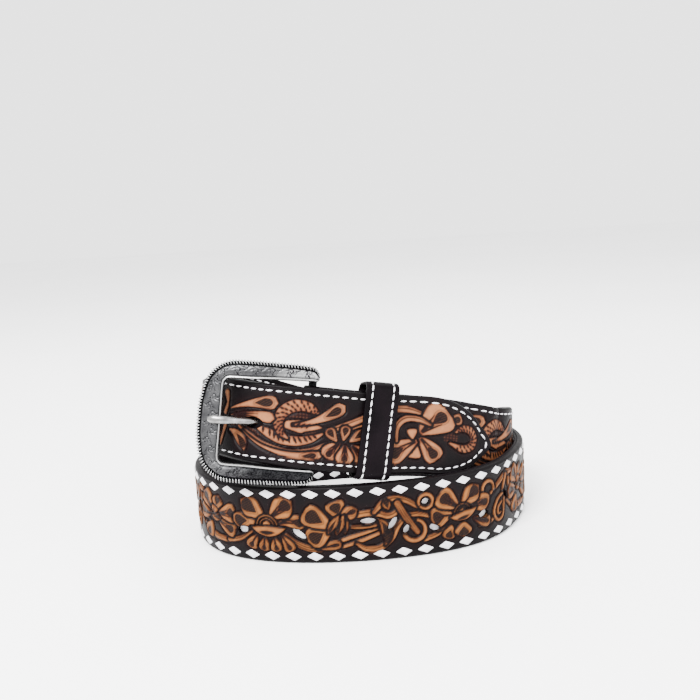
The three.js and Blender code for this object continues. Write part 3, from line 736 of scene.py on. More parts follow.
# One repeat of the pierced middle, 173 mm long, measured from its open bloom
middlePattern = {"starts": (276.6, 449.6, 622.6, 795.6), "fuller": 1.12}
middleStems = [  # path, widths, cut lines
    ([(-40, 13.5), (-36.3, 12), (-30.5, 9.2), (-22, 8.6)], (2.4, 3.4, 2.8), 1),
    ([(-20.9, 9.2), (-14, 11), (-7.2, 15.3)], (2.8, 2.4, 1.2), 1),
    ([(10, 14.5), (15, 10.4), (21, 7.8), (27, 7.4)], (2.0, 3.2, 3.4), 2),
    ([(32.8, 10), (42, 13), (53.7, 15.9)], (2.0, 2.3, 1.8), 0),
    ([(35.3, 7.6), (45.3, 10.5), (54.5, 13.8)], (1.6, 2.3, 2.0), 0),
    ([(38, 18.2), (46.2, 17.6), (53.3, 18)], (1.4, 2.1, 1.8), 1),
    ([(44.1, 9.25), (48.7, 6.5), (55.3, 6.75), (60.7, 10.9), (64.1, 16.75), (69.5, 21.3), (76.2, 20.9),
      (83, 17.6)], (1.6, 3, 3.1, 3, 2.6, 2.4, 1.4), 1),
    ([(39.9, 20.9), (45.3, 23.8), (52.8, 24.3), (59.5, 22.2), (64.1, 24.3), (63.6, 28)],
     (2, 3.2, 3.5, 3.2, 2.8, 2.4), 1),
    ([(53, 24.6), (57.4, 28.8), (62.8, 30.5), (68.7, 28.8), (73.7, 25.5), (80, 22.8)],
     (2, 3.4, 3.2, 2.8, 2.4, 1.4), 1),
    ([(77, 8.4), (82.8, 10), (88.3, 12.6)], (2.6, 2.5, 1.4), 1),
    ([(106.5, 9.7), (112, 9.2), (116.4, 11)], (2.2, 2.2, 1.6), 0),
    ([(122.8, 21.3), (128.7, 15.9), (134.5, 10.5), (143, 7.6)], (2.0, 2.4, 2.6, 2.2), 1),
    ([(129.5, 29.7), (130.3, 23), (134.5, 17.2), (139, 15.6)], (2.0, 2.4, 2.4, 1.4), 1),
    ([(116.4, 25.5), (121.2, 28.4), (127, 31), (133.7, 30.3), (138.3, 26.6)], (2.2, 2.8, 3.2, 2.8, 1.6), 1),
    ([(126.6, 30.2), (123.9, 23.8), (121.6, 16)], (2.6, 2.2, 1.6), 1),
]
middleOver = [  # stems that cross over the rest
    ([(64.2, 28), (67, 22.6), (70, 17.6), (73.4, 12.6)], (3.2, 3.2, 3.0, 2.6), 2),
    ([(124.8, 22), (119.4, 19.6), (116.4, 14), (118.8, 9), (123, 9.6), (124.4, 15), (124.8, 22)],
     (1.4, 1.7, 1.7, 1.8, 1.7, 1.6, 1.2), 0),
    ([(122.6, 17.6), (119.6, 15.4), (119.6, 12), (122, 12.2)], (1.2, 1.6, 1.5, 0.9), 0),
]
middleRings = [  # x, y, radius, band, start, end, spiral
    (72, 13.6, 5.2, 2.3, 100, 430, 0), (77.9, 27.3, 3.5, 2.0, -140, 200, 0),
    (112.4, 27, 4.0, 2.0, -20, 320, 0.15),
    (138.5, 23.5, 3.6, 1.6, 110, 420, 0.3),
]
middleLeaves = [
    # bloom on the seam of the repeat
    (-33.5, 15.8, 236, 9.5, 7, 10, "round", 0.4, 0.35, 0),
    (-34.6, 19.7, 182, 9.5, 8, -20, "round", 0.4, 0.4, 2),
    (-33, 22.5, 118, 10.5, 8.8, 18, "round", 0.42, 0.4, 2),
    (-29.5, 22.8, 74, 8.4, 7, -10, "pointed", 0.4, 0.35, 0),
    (-28, 18.4, -26, 12, 7.6, 8, "square", 0.42, 0.45, 2),
    (-27.4, 21.6, 8, 11.5, 8.8, 4, "square", 0.45, 0.5, 3),
    (-33.4, 18.6, 12, 7.5, 4.4, -10, "almond", 0.4, 0.3, 0), (-31.6, 20.6, 70, 4.6, 4.2, 0, "round", 0, 0, 1),
    # open bloom: fringe, side petals, upper petals
    (-4.6, 13.6, 232, 8, 5.6, 14, "square", 0.36, 0.45, 1),
    (-0.6, 12.8, 262, 7.2, 5.2, 0, "round", 0.36, 0.45, 1),
    (4.2, 12.8, 280, 7.2, 5.4, 0, "round", 0.36, 0.45, 1),
    (8.2, 14, 306, 9, 5.2, -14, "square", 0.36, 0.45, 1),
    (-4.4, 19.4, 160, 13.5, 7, 38, "round", 0.62, 0.38, 0),
    (6.3, 19.6, 30, 15, 6.4, -66, "round", 0.5, 0.48, 2),
    (-0.4, 22.6, 142, 15, 9.4, 4, "pointed", 0.56, 0.3, 0),
    (2.6, 22.8, 40, 14.6, 10, -4, "pointed", 0.44, 0.4, 3),
    # bloom seen from its side
    (25.2, 7.6, 14, 12, 4.4, -8, "round", 0.3, 0.4, 1), (33, 17.8, 205, 14, 9.6, 8, "round", 0.5, 0.36, 0),
    (32.8, 18.2, 150, 15.5, 9.8, -2, "square", 0.56, 0.34, 0),
    (36.6, 22, 104, 9.4, 8.4, 6, "square", 0.5, 0.3, 0),
    (36.6, 22.6, 30, 9.6, 6.2, -10, "pointed", 0.3, 0.3, 1),
    (39.6, 23.4, 262, 9.4, 3, 6, "almond", 0.34, 0.25, 0),
    (38.8, 24.4, 244, 11.5, 3.6, 8, "almond", 0.34, 0.25, 0),
    (36.6, 24.2, 232, 11, 3.4, 10, "almond", 0.34, 0.25, 0),
    # dark crescent and bud among the stems
    (54.4, 21.4, -38, 15.5, 4.4, -82, "almond", 0.66, 0.12, 0),
    (60.2, 25, 116, 6, 3.6, -20, "almond", 0.5, 0.2, 0),
    # second open bloom
    (90.8, 13.2, 246, 7.2, 6, 8, "round", 0.5, 0.35, 0), (103, 14.4, -28, 11, 5.6, 12, "square", 0.3, 0.4, 3),
    (97, 13.8, 268, 7.8, 8.6, 0, "pointed", 0.5, 0.3, 0),
    (91.4, 18.4, 172, 11.5, 9.4, 24, "round", 0.52, 0.36, 1),
    (99.4, 19.6, 28, 14, 8, -54, "round", 0.36, 0.45, 3),
    (94.6, 21.4, 140, 13, 9.6, 2, "square", 0.46, 0.36, 3),
    (96.2, 22, 42, 13.4, 8.6, -4, "pointed", 0.5, 0.36, 1),
]
middleCups = [(0.8, 18.6, 1.0, 0), (96.7, 18.2, 0.86, 10)]  # x, y, size, tilt
middleGaps = [  # x, y, length, width, angle
    (-12.5, 15.6, 6.2, 3.8, 20), (16.6, 14.8, 7.8, 3.8, -35), (50, 20.2, 7.6, 3.2, 0), (61.6, 18, 7.6, 3, 55),
    (68, 14.5, 4.8, 3.2, 70), (77.9, 27.2, 3.6, 3.4, 0), (82, 13.4, 5.6, 3.2, -30),
    (109.4, 14.6, 6.2, 3.8, 10),
    (126.2, 20.4, 6.4, 3, -55),
]
cup = {"arcs": ((5.0, 1.5), (3.4, 1.5), (1.5, 2.4)), "arcRise": 0.62, "lipRise": 0.72, "mouthDepth": 0.25,
       "mouthDark": 0.95}


# Arched cup over a smiling lip, the middle of an open bloom
def carveCup(sheet, x, y, size, tilt):
    for radius, width in cup["arcs"]:
        arc = ringPath(x, y, radius * size, 6 + tilt, 174 + tilt)
        carveStem(sheet, arc, (width * 0.7, width, width * 0.7), lines=0, rise=cup["arcRise"])
    drop = 0.6 + 2.2 * size * math.sin(math.radians(tilt))
    lip = (x - 8.4 * size, y - drop, tilt - 25, 18.6 * size, 5.4 * size, 50, "almond", 0, 0, 0)
    carveLeaf(sheet, dict(zip(leafColumns, lip)), rise=cup["lipRise"])
    mouth = dict(zip(leafColumns, (x - 4 * size, y - 2.9 * size, tilt - 8, 8 * size, 1.9 * size, 16)))
    part = partNear(sheet, (mouth["x"], mouth["x"] + mouth["length"]))
    if part:
        distance = outlineDistance(part["x"], part["y"], leafOutline(mouth, "almond"))
        pressShape(part, distance, cup["mouthDepth"], cup["mouthDark"])


def carveMiddle(sheet):
    for start in middlePattern["starts"]:
        carveStems(sheet, middleStems, start)
        for x, y, radius, band, first, last, spiral in middleRings:
            ring = ringPath(x + start, y, radius, first, last, spiral)
            carveStem(sheet, ring, (band * 0.6, band, band, band * 0.7), 0)
        carveLeaves(sheet, middleLeaves, start, middlePattern["fuller"])
        for x, y, size, tilt in middleCups:
            carveCup(sheet, x + start, y, size, tilt)
        carveStems(sheet, middleOver, start)


# Scrolls and leaves of the two billets, 139 mm long, ending in the large bloom
tipMats = [(42, 22, 8), (22, 16, 6), (119, 19, 4.4), (60, 9, 4)]  # x, y, radius
tipStems = [
    ([(2.4, 31), (3.6, 26.5), (2.6, 21.4)], (3.2, 1.5, 2.3), 0),
    ([(3.6, 15.6), (2.6, 11), (1.2, 6.4)], (2.4, 1.7, 2.4), 0),
    ([(37.6, 19.8), (44, 19.5), (52, 18.6), (57, 17.4)], (3.8, 6.2, 4.6, 2), 0),
    ([(12.5, 16.4), (20, 12.6), (28, 9), (39.2, 7.1), (49.2, 8.6), (57.5, 13)], (1.4, 2.8, 3.2, 3, 2.6, 1.2), 1),
    ([(62, 18), (70.8, 21.9), (78, 23.9)], (1.6, 2.3, 2.4), 0),
    ([(46.7, 15.6), (55, 17.4), (65, 21.6), (76.5, 26.8)], (1.8, 2.8, 3, 3), 1),
    ([(89, 31), (99.2, 30.8), (108, 27.8)], (3.2, 3.2, 1.6), 1),
]
tipFeathers = [  # path, widths, bars, rows of pits
    ([(20.6, 18.6), (29.6, 14.8), (35.5, 12.8), (43, 12.6), (49.7, 14.2), (54.9, 17)],
     (1.4, 4.4, 4.8, 4.6, 3.4, 1.2), 12, (0.2,)),
    ([(53, 25.4), (47.5, 28.7), (40.8, 29), (35.4, 25.9), (33.2, 20.9), (34.6, 16.3), (38.4, 13.5)],
     (1.2, 4.6, 5.8, 5.6, 4.8, 3.4, 1), 12, (-0.62, 0.0, 0.62)),
    ([(121.4, 22.4), (125, 25), (130, 24.7), (133, 21.4), (131.6, 17.2), (126, 15), (119, 16.4)],
     (1, 3.2, 4.2, 4.4, 4.2, 3.8, 1.4), 13, (-0.5, 0.5)),
]
tipLeaves = [
    (6.6, 13.8, -4, 14.8, 5.4, -72, "pointed", 0.55, 0.35, 0),
    (15, 14.6, -34.5, 44, 3.8, 52, "club", 0.55, 0.74, 0),
    (6.4, 20.7, 14, 25.4, 5.4, -24, "club", 0, 0, 2), (5.8, 23.8, 24, 27.6, 6.6, -26, "club", 0.5, 0.55, 0),
    (40, 20, 8, 27.5, 6.2, 34, "club", 0.5, 0.6, 0),
    # bloom half under the keeper
    (63.3, 13.4, 222, 9.6, 8.2, 20, "round", 0.3, 0.4, 3),
    (69.4, 12.6, -38, 9.4, 8.2, -14, "round", 0.3, 0.4, 3),
    (66, 12.6, 272, 8.8, 8.6, 0, "round", 0.3, 0.4, 3), (68, 14.4, 34, 10, 5, 6, "pointed", 0.5, 0.3, 0),
    (62, 14, 134, 7.6, 5, -8, "round", 0.5, 0.3, 0), (65, 14.6, 82, 7.2, 5, 0, "round", 0.5, 0.3, 0),
    # large bloom
    (115.6, 25.8, 28, 9, 5.6, -4, "square", 0.5, 0.3, 0), (101.4, 15.6, 262, 8, 9, 0, "square", 0, 0, 1),
    (104.4, 17.6, -50, 13.4, 9.8, 2, "square", 0.4, 0.42, 2),
    (103, 16, 205, 17, 10.6, 6, "square", 0.44, 0.45, 2),
    (104.4, 19.6, 44, 16.8, 15.6, 0, "square", 0.3, 0.42, 3), (100.8, 16.8, 94, 5, 5, 0, "square", 0, 0, 0),
]
tipCuts = {"rows": ((9, 21.6, 1.8), (40, 19.6, 2.3)), "count": 4,  # rows: x, y, step
           "shape": ((0, -0.6), (0.5, 0.5), (1.4, 1.4)), "widths": (0.3, 1.15, 0.3), "depth": 0.3,
           "dark": 0.97}
tipOver = [([(92.6, 16), (92.9, 22.4), (97.1, 26.3), (103.3, 26.4), (108.5, 24)], (1.6, 3.2, 3.2, 2.8, 1.2), 1)]


def carveBillet(sheet, shift):
    for x, y, radius in tipMats:
        matGround(sheet, x + shift, y, radius)
    carveStems(sheet, tipStems, shift)
    for path, widths, bars, pits in tipFeathers:
        carveFeather(sheet, shifted(path, shift), widths, bars, pits)
    carveLeaves(sheet, tipLeaves, shift)
    for k in range(tipCuts["count"]):
        for x, y, step in tipCuts["rows"]:
            cut = [(x + step * k + shift + dx, y + dy) for dx, dy in tipCuts["shape"]]
            pressStroke(sheet, cut, tipCuts["widths"], tipCuts["depth"], tipCuts["dark"])
    carveStems(sheet, tipOver, shift)


rolled = {"reach": 1.3, "drop": 0.95, "crease": 1.75, "creaseWide": 0.3, "creaseDeep": 0.1,
          "nose": 0.8, "noseDrop": 0.5}


# Edges rolled over, with a shallow crease beside them
def rollEdges(sheet, low, high):
    inset = np.minimum(sheet["y"] - low, high - sheet["y"])
    sheet["z"] -= rolled["drop"] * np.clip(1 - inset / rolled["reach"], 0, 1) ** 2.2
    sheet["z"] -= rolled["creaseDeep"] * groove(inset - rolled["crease"], rolled["creaseWide"])


# Closed leather from a sheet: raised top, walls, and a plain back with few faces.
# cut gives the signed distance to what is cut away; back gives the depth of the plain side.
def sheetPiece(name, sheet, back, cut, backColumns=()):
    x, y, z = sheet["x"].copy(), sheet["y"].copy(), sheet["z"]
    rows, cols = x.shape
    middleX, middleY = ((v[:-1, :-1] + v[1:, :-1] + v[1:, 1:] + v[:-1, 1:]) / 4 for v in (x, y))
    keep = np.zeros((rows + 1, cols + 1), bool)
    keep[1:-1, 1:-1] = cut(middleX, middleY) > 0
    around = [keep[:-1, :-1], keep[1:, :-1], keep[1:, 1:], keep[:-1, 1:]]
    used = np.logical_or.reduce(around)
    rim = used & ~np.logical_and.reduce(around)
    px, py = x[rim], y[rim]
    g = cut(px, py)
    near = 0.02
    gx = (cut(px + near, py) - cut(px - near, py)) / (2 * near)
    gy = (cut(px, py + near) - cut(px, py - near)) / (2 * near)
    pull = np.where(np.abs(g) < 0.9, g, 0)  # the rim moves onto the line of the cut
    x[rim], y[rim] = px - pull * gx, py - pull * gy
    index = np.full((rows, cols), -1)
    index[used] = np.arange(used.sum())
    points = np.stack([x[used], y[used], z[used]], 1)
    ki, kj = np.nonzero(keep[1:-1, 1:-1])
    faces = np.stack([index[ki, kj], index[ki + 1, kj], index[ki + 1, kj + 1], index[ki, kj + 1]], 1).tolist()
    below = rim.copy()
    below[:, list(backColumns)] |= used[:, list(backColumns)]
    under = np.full((rows, cols), -1)
    under[below] = len(points) + np.arange(below.sum())
    points = np.concatenate([points, np.stack([x[below], y[below], back(x[below], y[below])], 1)])
    for di, dj, a, b in ((0, -1, (0, 0), (1, 0)), (1, 0, (1, 0), (1, 1)),
                         (0, 1, (1, 1), (0, 1)), (-1, 0, (0, 1), (0, 0))):
        wall = keep[1:-1, 1:-1] & ~keep[1 + di:rows + di, 1 + dj:cols + dj]
        wi, wj = np.nonzero(wall)
        first, last = (wi + a[0], wj + a[1]), (wi + b[0], wj + b[1])
        faces += np.stack([index[last], index[first], under[first], under[last]], 1).tolist()
    for i in range(rows - 1):
        row = keep[i + 1, 1:-1]
        starts = np.nonzero(row & ~keep[i + 1, :-2])[0]
        ends = np.nonzero(row & ~keep[i + 1, 2:])[0] + 1
        for a, b in zip(starts, ends):
            stops = [a, *sorted(s for s in backColumns if a < s < b), b]
            for c, d in zip(stops[:-1], stops[1:]):
                here = [under[i, j] for j in range(c, d + 1) if below[i, j]]
                there = [under[i + 1, j] for j in range(d, c - 1, -1) if below[i + 1, j]]
                faces.append(here + there)
    obj = meshPiece(name, points, faces)
    spare = np.zeros(below.sum())
    setMarks(obj, *(np.concatenate([np.clip(sheet[key][used], 0, 1), spare]) for key in ("tan", "shade", "warm")))
    print(name, len(faces), "faces")
    return obj


# Leather sheets: grid lines across the strap are closer at its edges
tool = {"middleStep": 0.5, "tipStep": 0.37, "buckleStep": 0.4, "foldStep": 0.8, "carvedFrom": 6.0,
        "carvedTo": 32.0}
border = [0, 0.15, 0.4, 0.8, 1.3, 1.5, 1.75, 2.0, 2.4, 3.1, 3.8, 4.8, 5.6]


def acrossLines(step):
    carved = np.arange(tool["carvedFrom"], tool["carvedTo"] + 0.01, step)
    carved[-1] = tool["carvedTo"]
    return np.concatenate([border, carved, strap["width"] - np.array(border[::-1])])


# Places to the left of a path, a set distance away
def besidePath(path, inset):
    slope = unit(np.gradient(path, axis=0))
    return path + inset * np.stack([-slope[:, 1], slope[:, 0]], 1)


def noseCurve(at, way, inset=0.0):
    y = np.linspace(0, strap["width"], 61)
    x = at + way * strap["noseLength"] * (1 - ((y - midWidth) / midWidth) ** 2) ** 0.75
    return besidePath(np.stack([x, y], 1), inset * way)


# Signed distance to a billet, below 0 on it
def billetDistance(x, y, at, way):
    far = at - way * 900
    outline = [(far, -60), (at, -60), *noseCurve(at, way), (at, 98), (far, 98)]
    return outlineDistance(x, y, np.array(outline))


def ovalDistance(x, y, row, shift=0.0):
    ox, oy, length, width, angle = row
    c, s = math.cos(math.radians(angle)), math.sin(math.radians(angle))
    u = ((x - ox - shift) * c + (y - oy) * s) / (length / 2)
    v = (-(x - ox - shift) * s + (y - oy) * c) / (width / 2)
    return (np.sqrt(u * u + v * v) - 1) * min(length, width) / 2


gapLook = {"room": 6.0, "dark": 0.6}
gapsFrom = strap["buckleSeam"] + strap["noseLength"] + gapLook["room"]
gapsTo = strap["tipSeam"] - strap["noseLength"] - gapLook["room"]
middleGapRows = [(row, start) for start in middlePattern["starts"] for row in middleGaps
                 if gapsFrom < row[0] + start < gapsTo]


def middleCut(x, y):
    seams = [billetDistance(x, y, strap["buckleSeam"], 1), billetDistance(x, y, strap["tipSeam"], -1)]
    gaps = [ovalDistance(x, y, row, start) for row, start in middleGapRows]
    return np.minimum.reduce([np.minimum(*seams) - strap["noseGap"], *gaps])


ledge = {"low": 5.8, "high": 32.2, "columns": (5.6, 6.0, 32.0, 32.4)}  # the face is thinner over the inlay


def makeMiddle():
    yLine = acrossLines(tool["middleStep"])
    sheet = makeSheet(np.arange(strap["buckleSeam"], strap["tipSeam"] + 0.01, tool["middleStep"]), yLine)
    carveMiddle(sheet)
    for row, start in middleGapRows:
        part = partNear(sheet, (row[0] + start - 5, row[0] + start + 5))
        distance = np.clip(ovalDistance(part["x"], part["y"], row, start), 0, None)
        np.clip(part["shade"] + groove(distance, gapLook["dark"]), 0, 1, out=part["shade"])
    rollEdges(sheet, 0, strap["width"])

    def back(x, y):
        return np.where((y > ledge["low"]) & (y < ledge["high"]), -strap["face"], -strap["rim"])

    columns = [int(np.argmin(abs(yLine - v))) for v in ledge["columns"]]
    piece = sheetPiece("middle_leather", sheet, back, middleCut, columns)
    layOn(piece, strapPlace, ["middle_face"], goldenTooled)


seam = {"inset": 3.1, "noseInset": 2.7, "pitch": 4.6, "stitch": 3.2, "thread": 0.76, "groove": 0.16,
        "grooveWide": 0.5}
seamSides = (seam["inset"], strap["width"] - seam["inset"])


# Groove that the stitches lie in
def pressSeam(sheet, path):
    for first in range(0, len(path) - 1, 12):
        pressed = path[first:first + 13]
        part = partNear(sheet, pressed[:, 0], 1.5)
        if part and len(pressed) > 1:
            distance = strokeDistance(part["x"], part["y"], pressed, (0.2, 0.2))[0]
            cut = -seam["groove"] * groove(np.clip(distance, 0, None), seam["grooveWide"])
            np.minimum(part["z"], cut, out=part["z"])


# Stitch line round the tip, a set distance in from the edge
def tipSeamPath():
    bend = strap["length"] - strap["tipLength"] - 1
    x = np.concatenate([np.arange(strap["tipSeam"] + 2, bend - 1, 3.0), np.linspace(bend, tipEnd, 90)])
    low, high = strapEdges(x)
    outline = np.concatenate([np.stack([x, low], 1), np.stack([x, high], 1)[::-1]])
    inner = besidePath(outline, seam["inset"])
    depth = -outlineDistance(inner[:, 0], inner[:, 1], outline)
    return inner[(depth > seam["inset"] - 0.06) | (inner[:, 0] < strap["tipSeam"] + 8)]


tipLine = tipSeamPath()


# Grooves, rolled edges and a rounded nose, then the closed piece
def finishBillet(name, sheet, at, way, seams, edges, back, cut, place, replaced):
    for path in seams:
        pressSeam(sheet, path)
    pressSeam(sheet, noseCurve(at, way, seam["noseInset"])[6:-6])
    rollEdges(sheet, *edges)
    nose = -billetDistance(sheet["x"], sheet["y"], at, way)
    sheet["z"] -= rolled["noseDrop"] * np.clip(1 - nose / rolled["nose"], 0, 1) ** 2
    layOn(sheetPiece(name, sheet, back, cut), place, [replaced], roseTooled)


tip = {"patternStarts": (787.0, 930.0),
       "hole": (950.5, midWidth, 11.2, 5.6, 0)}  # x, y, length, width, angle


def tipCut(x, y):
    return np.minimum(-billetDistance(x, y, strap["tipSeam"], -1), ovalDistance(x, y, tip["hole"]))


def tipBack(x, y):
    return np.full(x.shape, -strap["rim"])


def makeTip():
    xLine = np.linspace(strap["tipSeam"] - strap["noseLength"] - 0.4, tipEnd, int(299 / tool["tipStep"]))
    sheet = makeSheet(xLine, acrossLines(tool["tipStep"]), strapEdges)
    for shift in tip["patternStarts"]:
        carveBillet(sheet, shift)
    finishBillet("tip_leather", sheet, strap["tipSeam"], -1, [tipLine], strapEdges(sheet["x"]), tipBack,
                 tipCut, strapPlace, "tip_billet")


prongSlot = {"from": -22.0, "to": 8.6, "width": 8.0}
screws = {"names": ("screw_near_bar", "screw_past_keeper"), "at": (17.0, 50.0), "hole": 2.5, "radius": 4.6}
buckleEnd = {"patternStart": 62.0, "carvedFrom": 56, "seamFrom": -72}


def buckleCut(x, y):
    half = prongSlot["width"] / 2
    reach = np.clip(x, prongSlot["from"] + half, prongSlot["to"] - half)
    cuts = [-billetDistance(x, y, strap["buckleSeam"], 1), np.hypot(x - reach, y - midWidth) - half]
    holes = [place for at in screws["at"] for place in (at, -foldRound - at)]
    cuts += [np.hypot(x - place, y - midWidth) - screws["hole"] for place in holes]
    return np.minimum.reduce(cuts)


def buckleBack(x, y):
    return -fold["leather"] - (strap["rim"] - fold["leather"]) * np.clip(x / fold["blend"], 0, 1)


def makeBuckleLeather():
    folded = np.arange(-foldRound - fold["end"], buckleEnd["carvedFrom"], tool["foldStep"])
    carvedTo = strap["buckleSeam"] + strap["noseLength"] + 0.5
    carved = np.arange(buckleEnd["carvedFrom"], carvedTo, tool["buckleStep"])
    sheet = makeSheet(np.concatenate([folded, carved]), acrossLines(tool["buckleStep"] + 0.05))
    carveBillet(sheet, buckleEnd["patternStart"])
    along = np.arange(buckleEnd["seamFrom"], strap["buckleSeam"], 4.0)
    seams = [np.stack([along, np.full(len(along), y)], 1) for y in seamSides]
    finishBillet("buckle_leather", sheet, strap["buckleSeam"], 1, seams, (0, strap["width"]), buckleBack,
                 buckleCut, foldPlace, "buckle_billet")


makeMiddle()
makeTip()
makeBuckleLeather()

lining = {"steps": 250, "edge": 0.5, "across": 6}
inlay = {"low": 6.5, "high": 31.5, "top": -2.25, "thick": 0.5, "steps": 280, "room": 2, "wave": 0.06}


# A long grid, drawn to the strap's outline and given its thickness
def makeBand(name, first, last, low, high, top, thick, steps):
    band = addPrimitive(bpy.ops.mesh.primitive_grid_add, name, x_subdivisions=steps,
                        y_subdivisions=lining["across"], size=1)
    points = flatPoints(band)
    x = first + (last - first) * (points[:, 0] + 0.5)
    share = (low + (high - low) * (points[:, 1] + 0.5)) / strap["width"]
    edgeLow, edgeHigh = strapEdges(x)
    setPoints(band, np.stack([x, edgeLow + (edgeHigh - edgeLow) * share, np.full(len(x), top)], 1))
    return outward(band, thick)


def makeLining():
    band = makeBand("lining_leather", strap["liningFrom"], tipEnd, 0, strap["width"], strap["liningTop"],
                    strap["liningTop"] - strap["liningBack"], lining["steps"])
    layOn(roundEdges(band, lining["edge"]), strapPlace, ["lining"], plainDark)


def makeInlay():
    room = strap["noseLength"] + inlay["room"]
    band = makeBand("white_inlay_strip", strap["buckleSeam"] + room, strap["tipSeam"] - room, inlay["low"],
                    inlay["high"], inlay["top"], inlay["thick"], inlay["steps"])
    points = flatPoints(band)
    points[:, 2] += inlay["wave"] * np.sin(points[:, 0] * 0.9) * np.sin(points[:, 1] * 0.7)
    setPoints(band, points)
    layOn(band, strapPlace, ["white_inlay"], laceWhite)


makeLining()
makeInlay()
print("leather laid on the coil")

# Edge lacing: one crowned diamond, copied along both edges on the face and on the back
lace = {"pitch": 10.65, "first": 217.2, "last": 778.0, "rows": ((34.8, 0.0), (3.6, 0.6)),  # rows: y, shift
        "corners": ((-4.1, 0.05), (-0.5, 2.1), (4.1, -0.05), (0.5, -2.1)),
        "crown": 0.5, "droop": 0.16, "thick": 0.3, "out": 0.12}


def laceDiamond():
    diamond = addPrimitive(bpy.ops.mesh.primitive_grid_add, "diamond", x_subdivisions=4, y_subdivisions=4, size=2)
    u, v = (flatPoints(diamond)[:, :2] / 2 + 0.5).T
    weights = [(1 - u) * (1 - v), (1 - u) * v, u * v, u * (1 - v)]
    flat = sum(w[:, None] * np.array(corner) for w, corner in zip(weights, lace["corners"]))
    lift = lace["crown"] * (1 - np.abs(2 * u - 1) ** 4) * (1 - np.abs(2 * v - 1) ** 4)
    setPoints(diamond, np.column_stack([flat, lift - lace["droop"] * (flat[:, 0] / 3.75) ** 2]))
    return outward(diamond, lace["thick"])


spots = np.arange(lace["first"], lace["last"], lace["pitch"])
for name, z, flip in (("lace_face", lace["out"], 1), ("lace_back", strap["liningBack"] - lace["out"], -1)):
    places = [(x + shift, y, z, 0.0, flip) for y, shift in lace["rows"] for x in spots]
    layOn(scatter(name, laceDiamond(), places), strapPlace, [], laceWhite, 50)


# Thread: one plump stitch that dips into the leather at both ends
def stitchShape():
    stitch = addPrimitive(bpy.ops.mesh.primitive_uv_sphere_add, "stitch", segments=8, ring_count=7, radius=1,
                          rotation=(0, math.pi / 2, 0))
    px, py, pz = flatPoints(stitch).T
    x = np.sign(px) * np.abs(px) ** 0.8
    y = py * seam["thread"] / 2 * (1 + 0.12 * np.sin(3 * x + 1))
    setPoints(stitch, np.stack([x * seam["stitch"] / 2, y, pz * 0.42 - 0.22 * x**2], 1))
    return stitch


def stitchPlaces(path, z, flip=1):
    path = np.array(path, float)
    lengths = runLengths(path)
    count = max(2, round(lengths[-1] / seam["pitch"]))
    places = []
    for at in (np.arange(count) + 0.5) * lengths[-1] / count:
        x, ax = np.interp((at, at + 0.6), lengths, path[:, 0])
        y, ay = np.interp((at, at + 0.6), lengths, path[:, 1])
        places.append((x, y, z, math.atan2(ay - y, ax - x) + 0.05, flip))
    return places


def makeStitches():
    tipNose, buckleNose = (noseCurve(strap[at], way, seam["noseInset"])[5:-5]
                           for at, way in (("tipSeam", -1), ("buckleSeam", 1)))
    seamEnd = strap["buckleSeam"] - 2
    stretches = ((8, seamEnd), (buckleEnd["seamFrom"], -24))  # before the fold, and behind it
    front = [[(first, y), (last, y)] for y in seamSides for first, last in stretches]
    behind = [[(62, y), (seamEnd, y)] for y in seamSides]
    out, back = 0.08, strap["liningBack"] - 0.08
    for name, z, flip, paths, place in (
            ("tip_stitches", out, 1, [tipLine, tipNose], strapPlace),
            ("tip_back_stitches", back, -1, [tipLine, tipNose], strapPlace),
            ("buckle_stitches", out, 1, [*front, buckleNose], foldPlace),
            ("buckle_back_stitches", back, -1, [buckleNose, *behind], strapPlace)):
        places = [spot for path in paths for spot in stitchPlaces(path, z, flip)]
        layOn(scatter(name, stitchShape(), places), place, [], threadWhite, 60)


makeStitches()
print("lacing and stitching ready")

# Keeper: a rounded loop, swept round the two layers that it holds
keeper = {"at": 33.2, "width": 16.0, "slant": 0.06, "thick": 1.9, "low": -2.2, "high": 40.6, "back": -5.6,
          "front": 7.3,
          "corner": 4.4, "stations": 120, "steps": 480, "pitch": 3.9, "stitchInset": 2.9, "bulge": 0.05}


# Points of a rounded rectangle, and the way out at each
def roundedLoop(low, high, back, front, corner, count):
    centres = [(high - corner, front - corner), (low + corner, front - corner),
               (low + corner, back + corner), (high - corner, back + corner)]
    turns = [np.radians(np.linspace(90 * k, 90 * (k + 1), 13)) for k in range(4)]
    outs = [np.stack([np.cos(a), np.sin(a)], 1) for a in turns]
    points = [np.array(centre) + corner * way for centre, way in zip(centres, outs)]
    points, outs = (np.concatenate([*rows, rows[0][:1]]) for rows in (points, outs))
    lengths = runLengths(points)
    even = np.linspace(0, lengths[-1], count, endpoint=False)
    evenPoints, evenOuts = (np.stack([np.interp(even, lengths, v) for v in rows.T], 1) for rows in (points, outs))
    return evenPoints, unit(evenOuts), lengths[-1]


loopPoints, loopOuts, loopLength = roundedLoop(
    keeper["low"] - keeper["thick"], keeper["high"] + keeper["thick"], keeper["back"] - keeper["thick"],
    keeper["front"] + keeper["thick"], keeper["corner"], keeper["steps"])


# x across the keeper, y along the loop, z out of its outer face
def keeperPlace(x, y, z):
    at = np.mod(y / loopLength, 1) * keeper["steps"]
    i = at.astype(int) % keeper["steps"]
    j = (i + 1) % keeper["steps"]
    u = (at - np.floor(at))[:, None]
    point = loopPoints[i] * (1 - u) + loopPoints[j] * u
    point = point + unit(loopOuts[i] * (1 - u) + loopOuts[j] * u) * z[:, None]
    bulge = 1 + keeper["bulge"] * np.clip(point[:, 1] / 9, 0, 1)
    along = keeper["at"] + keeper["slant"] * (point[:, 0] - midWidth) + x * bulge
    return strapPlace(along, point[:, 0], point[:, 1])


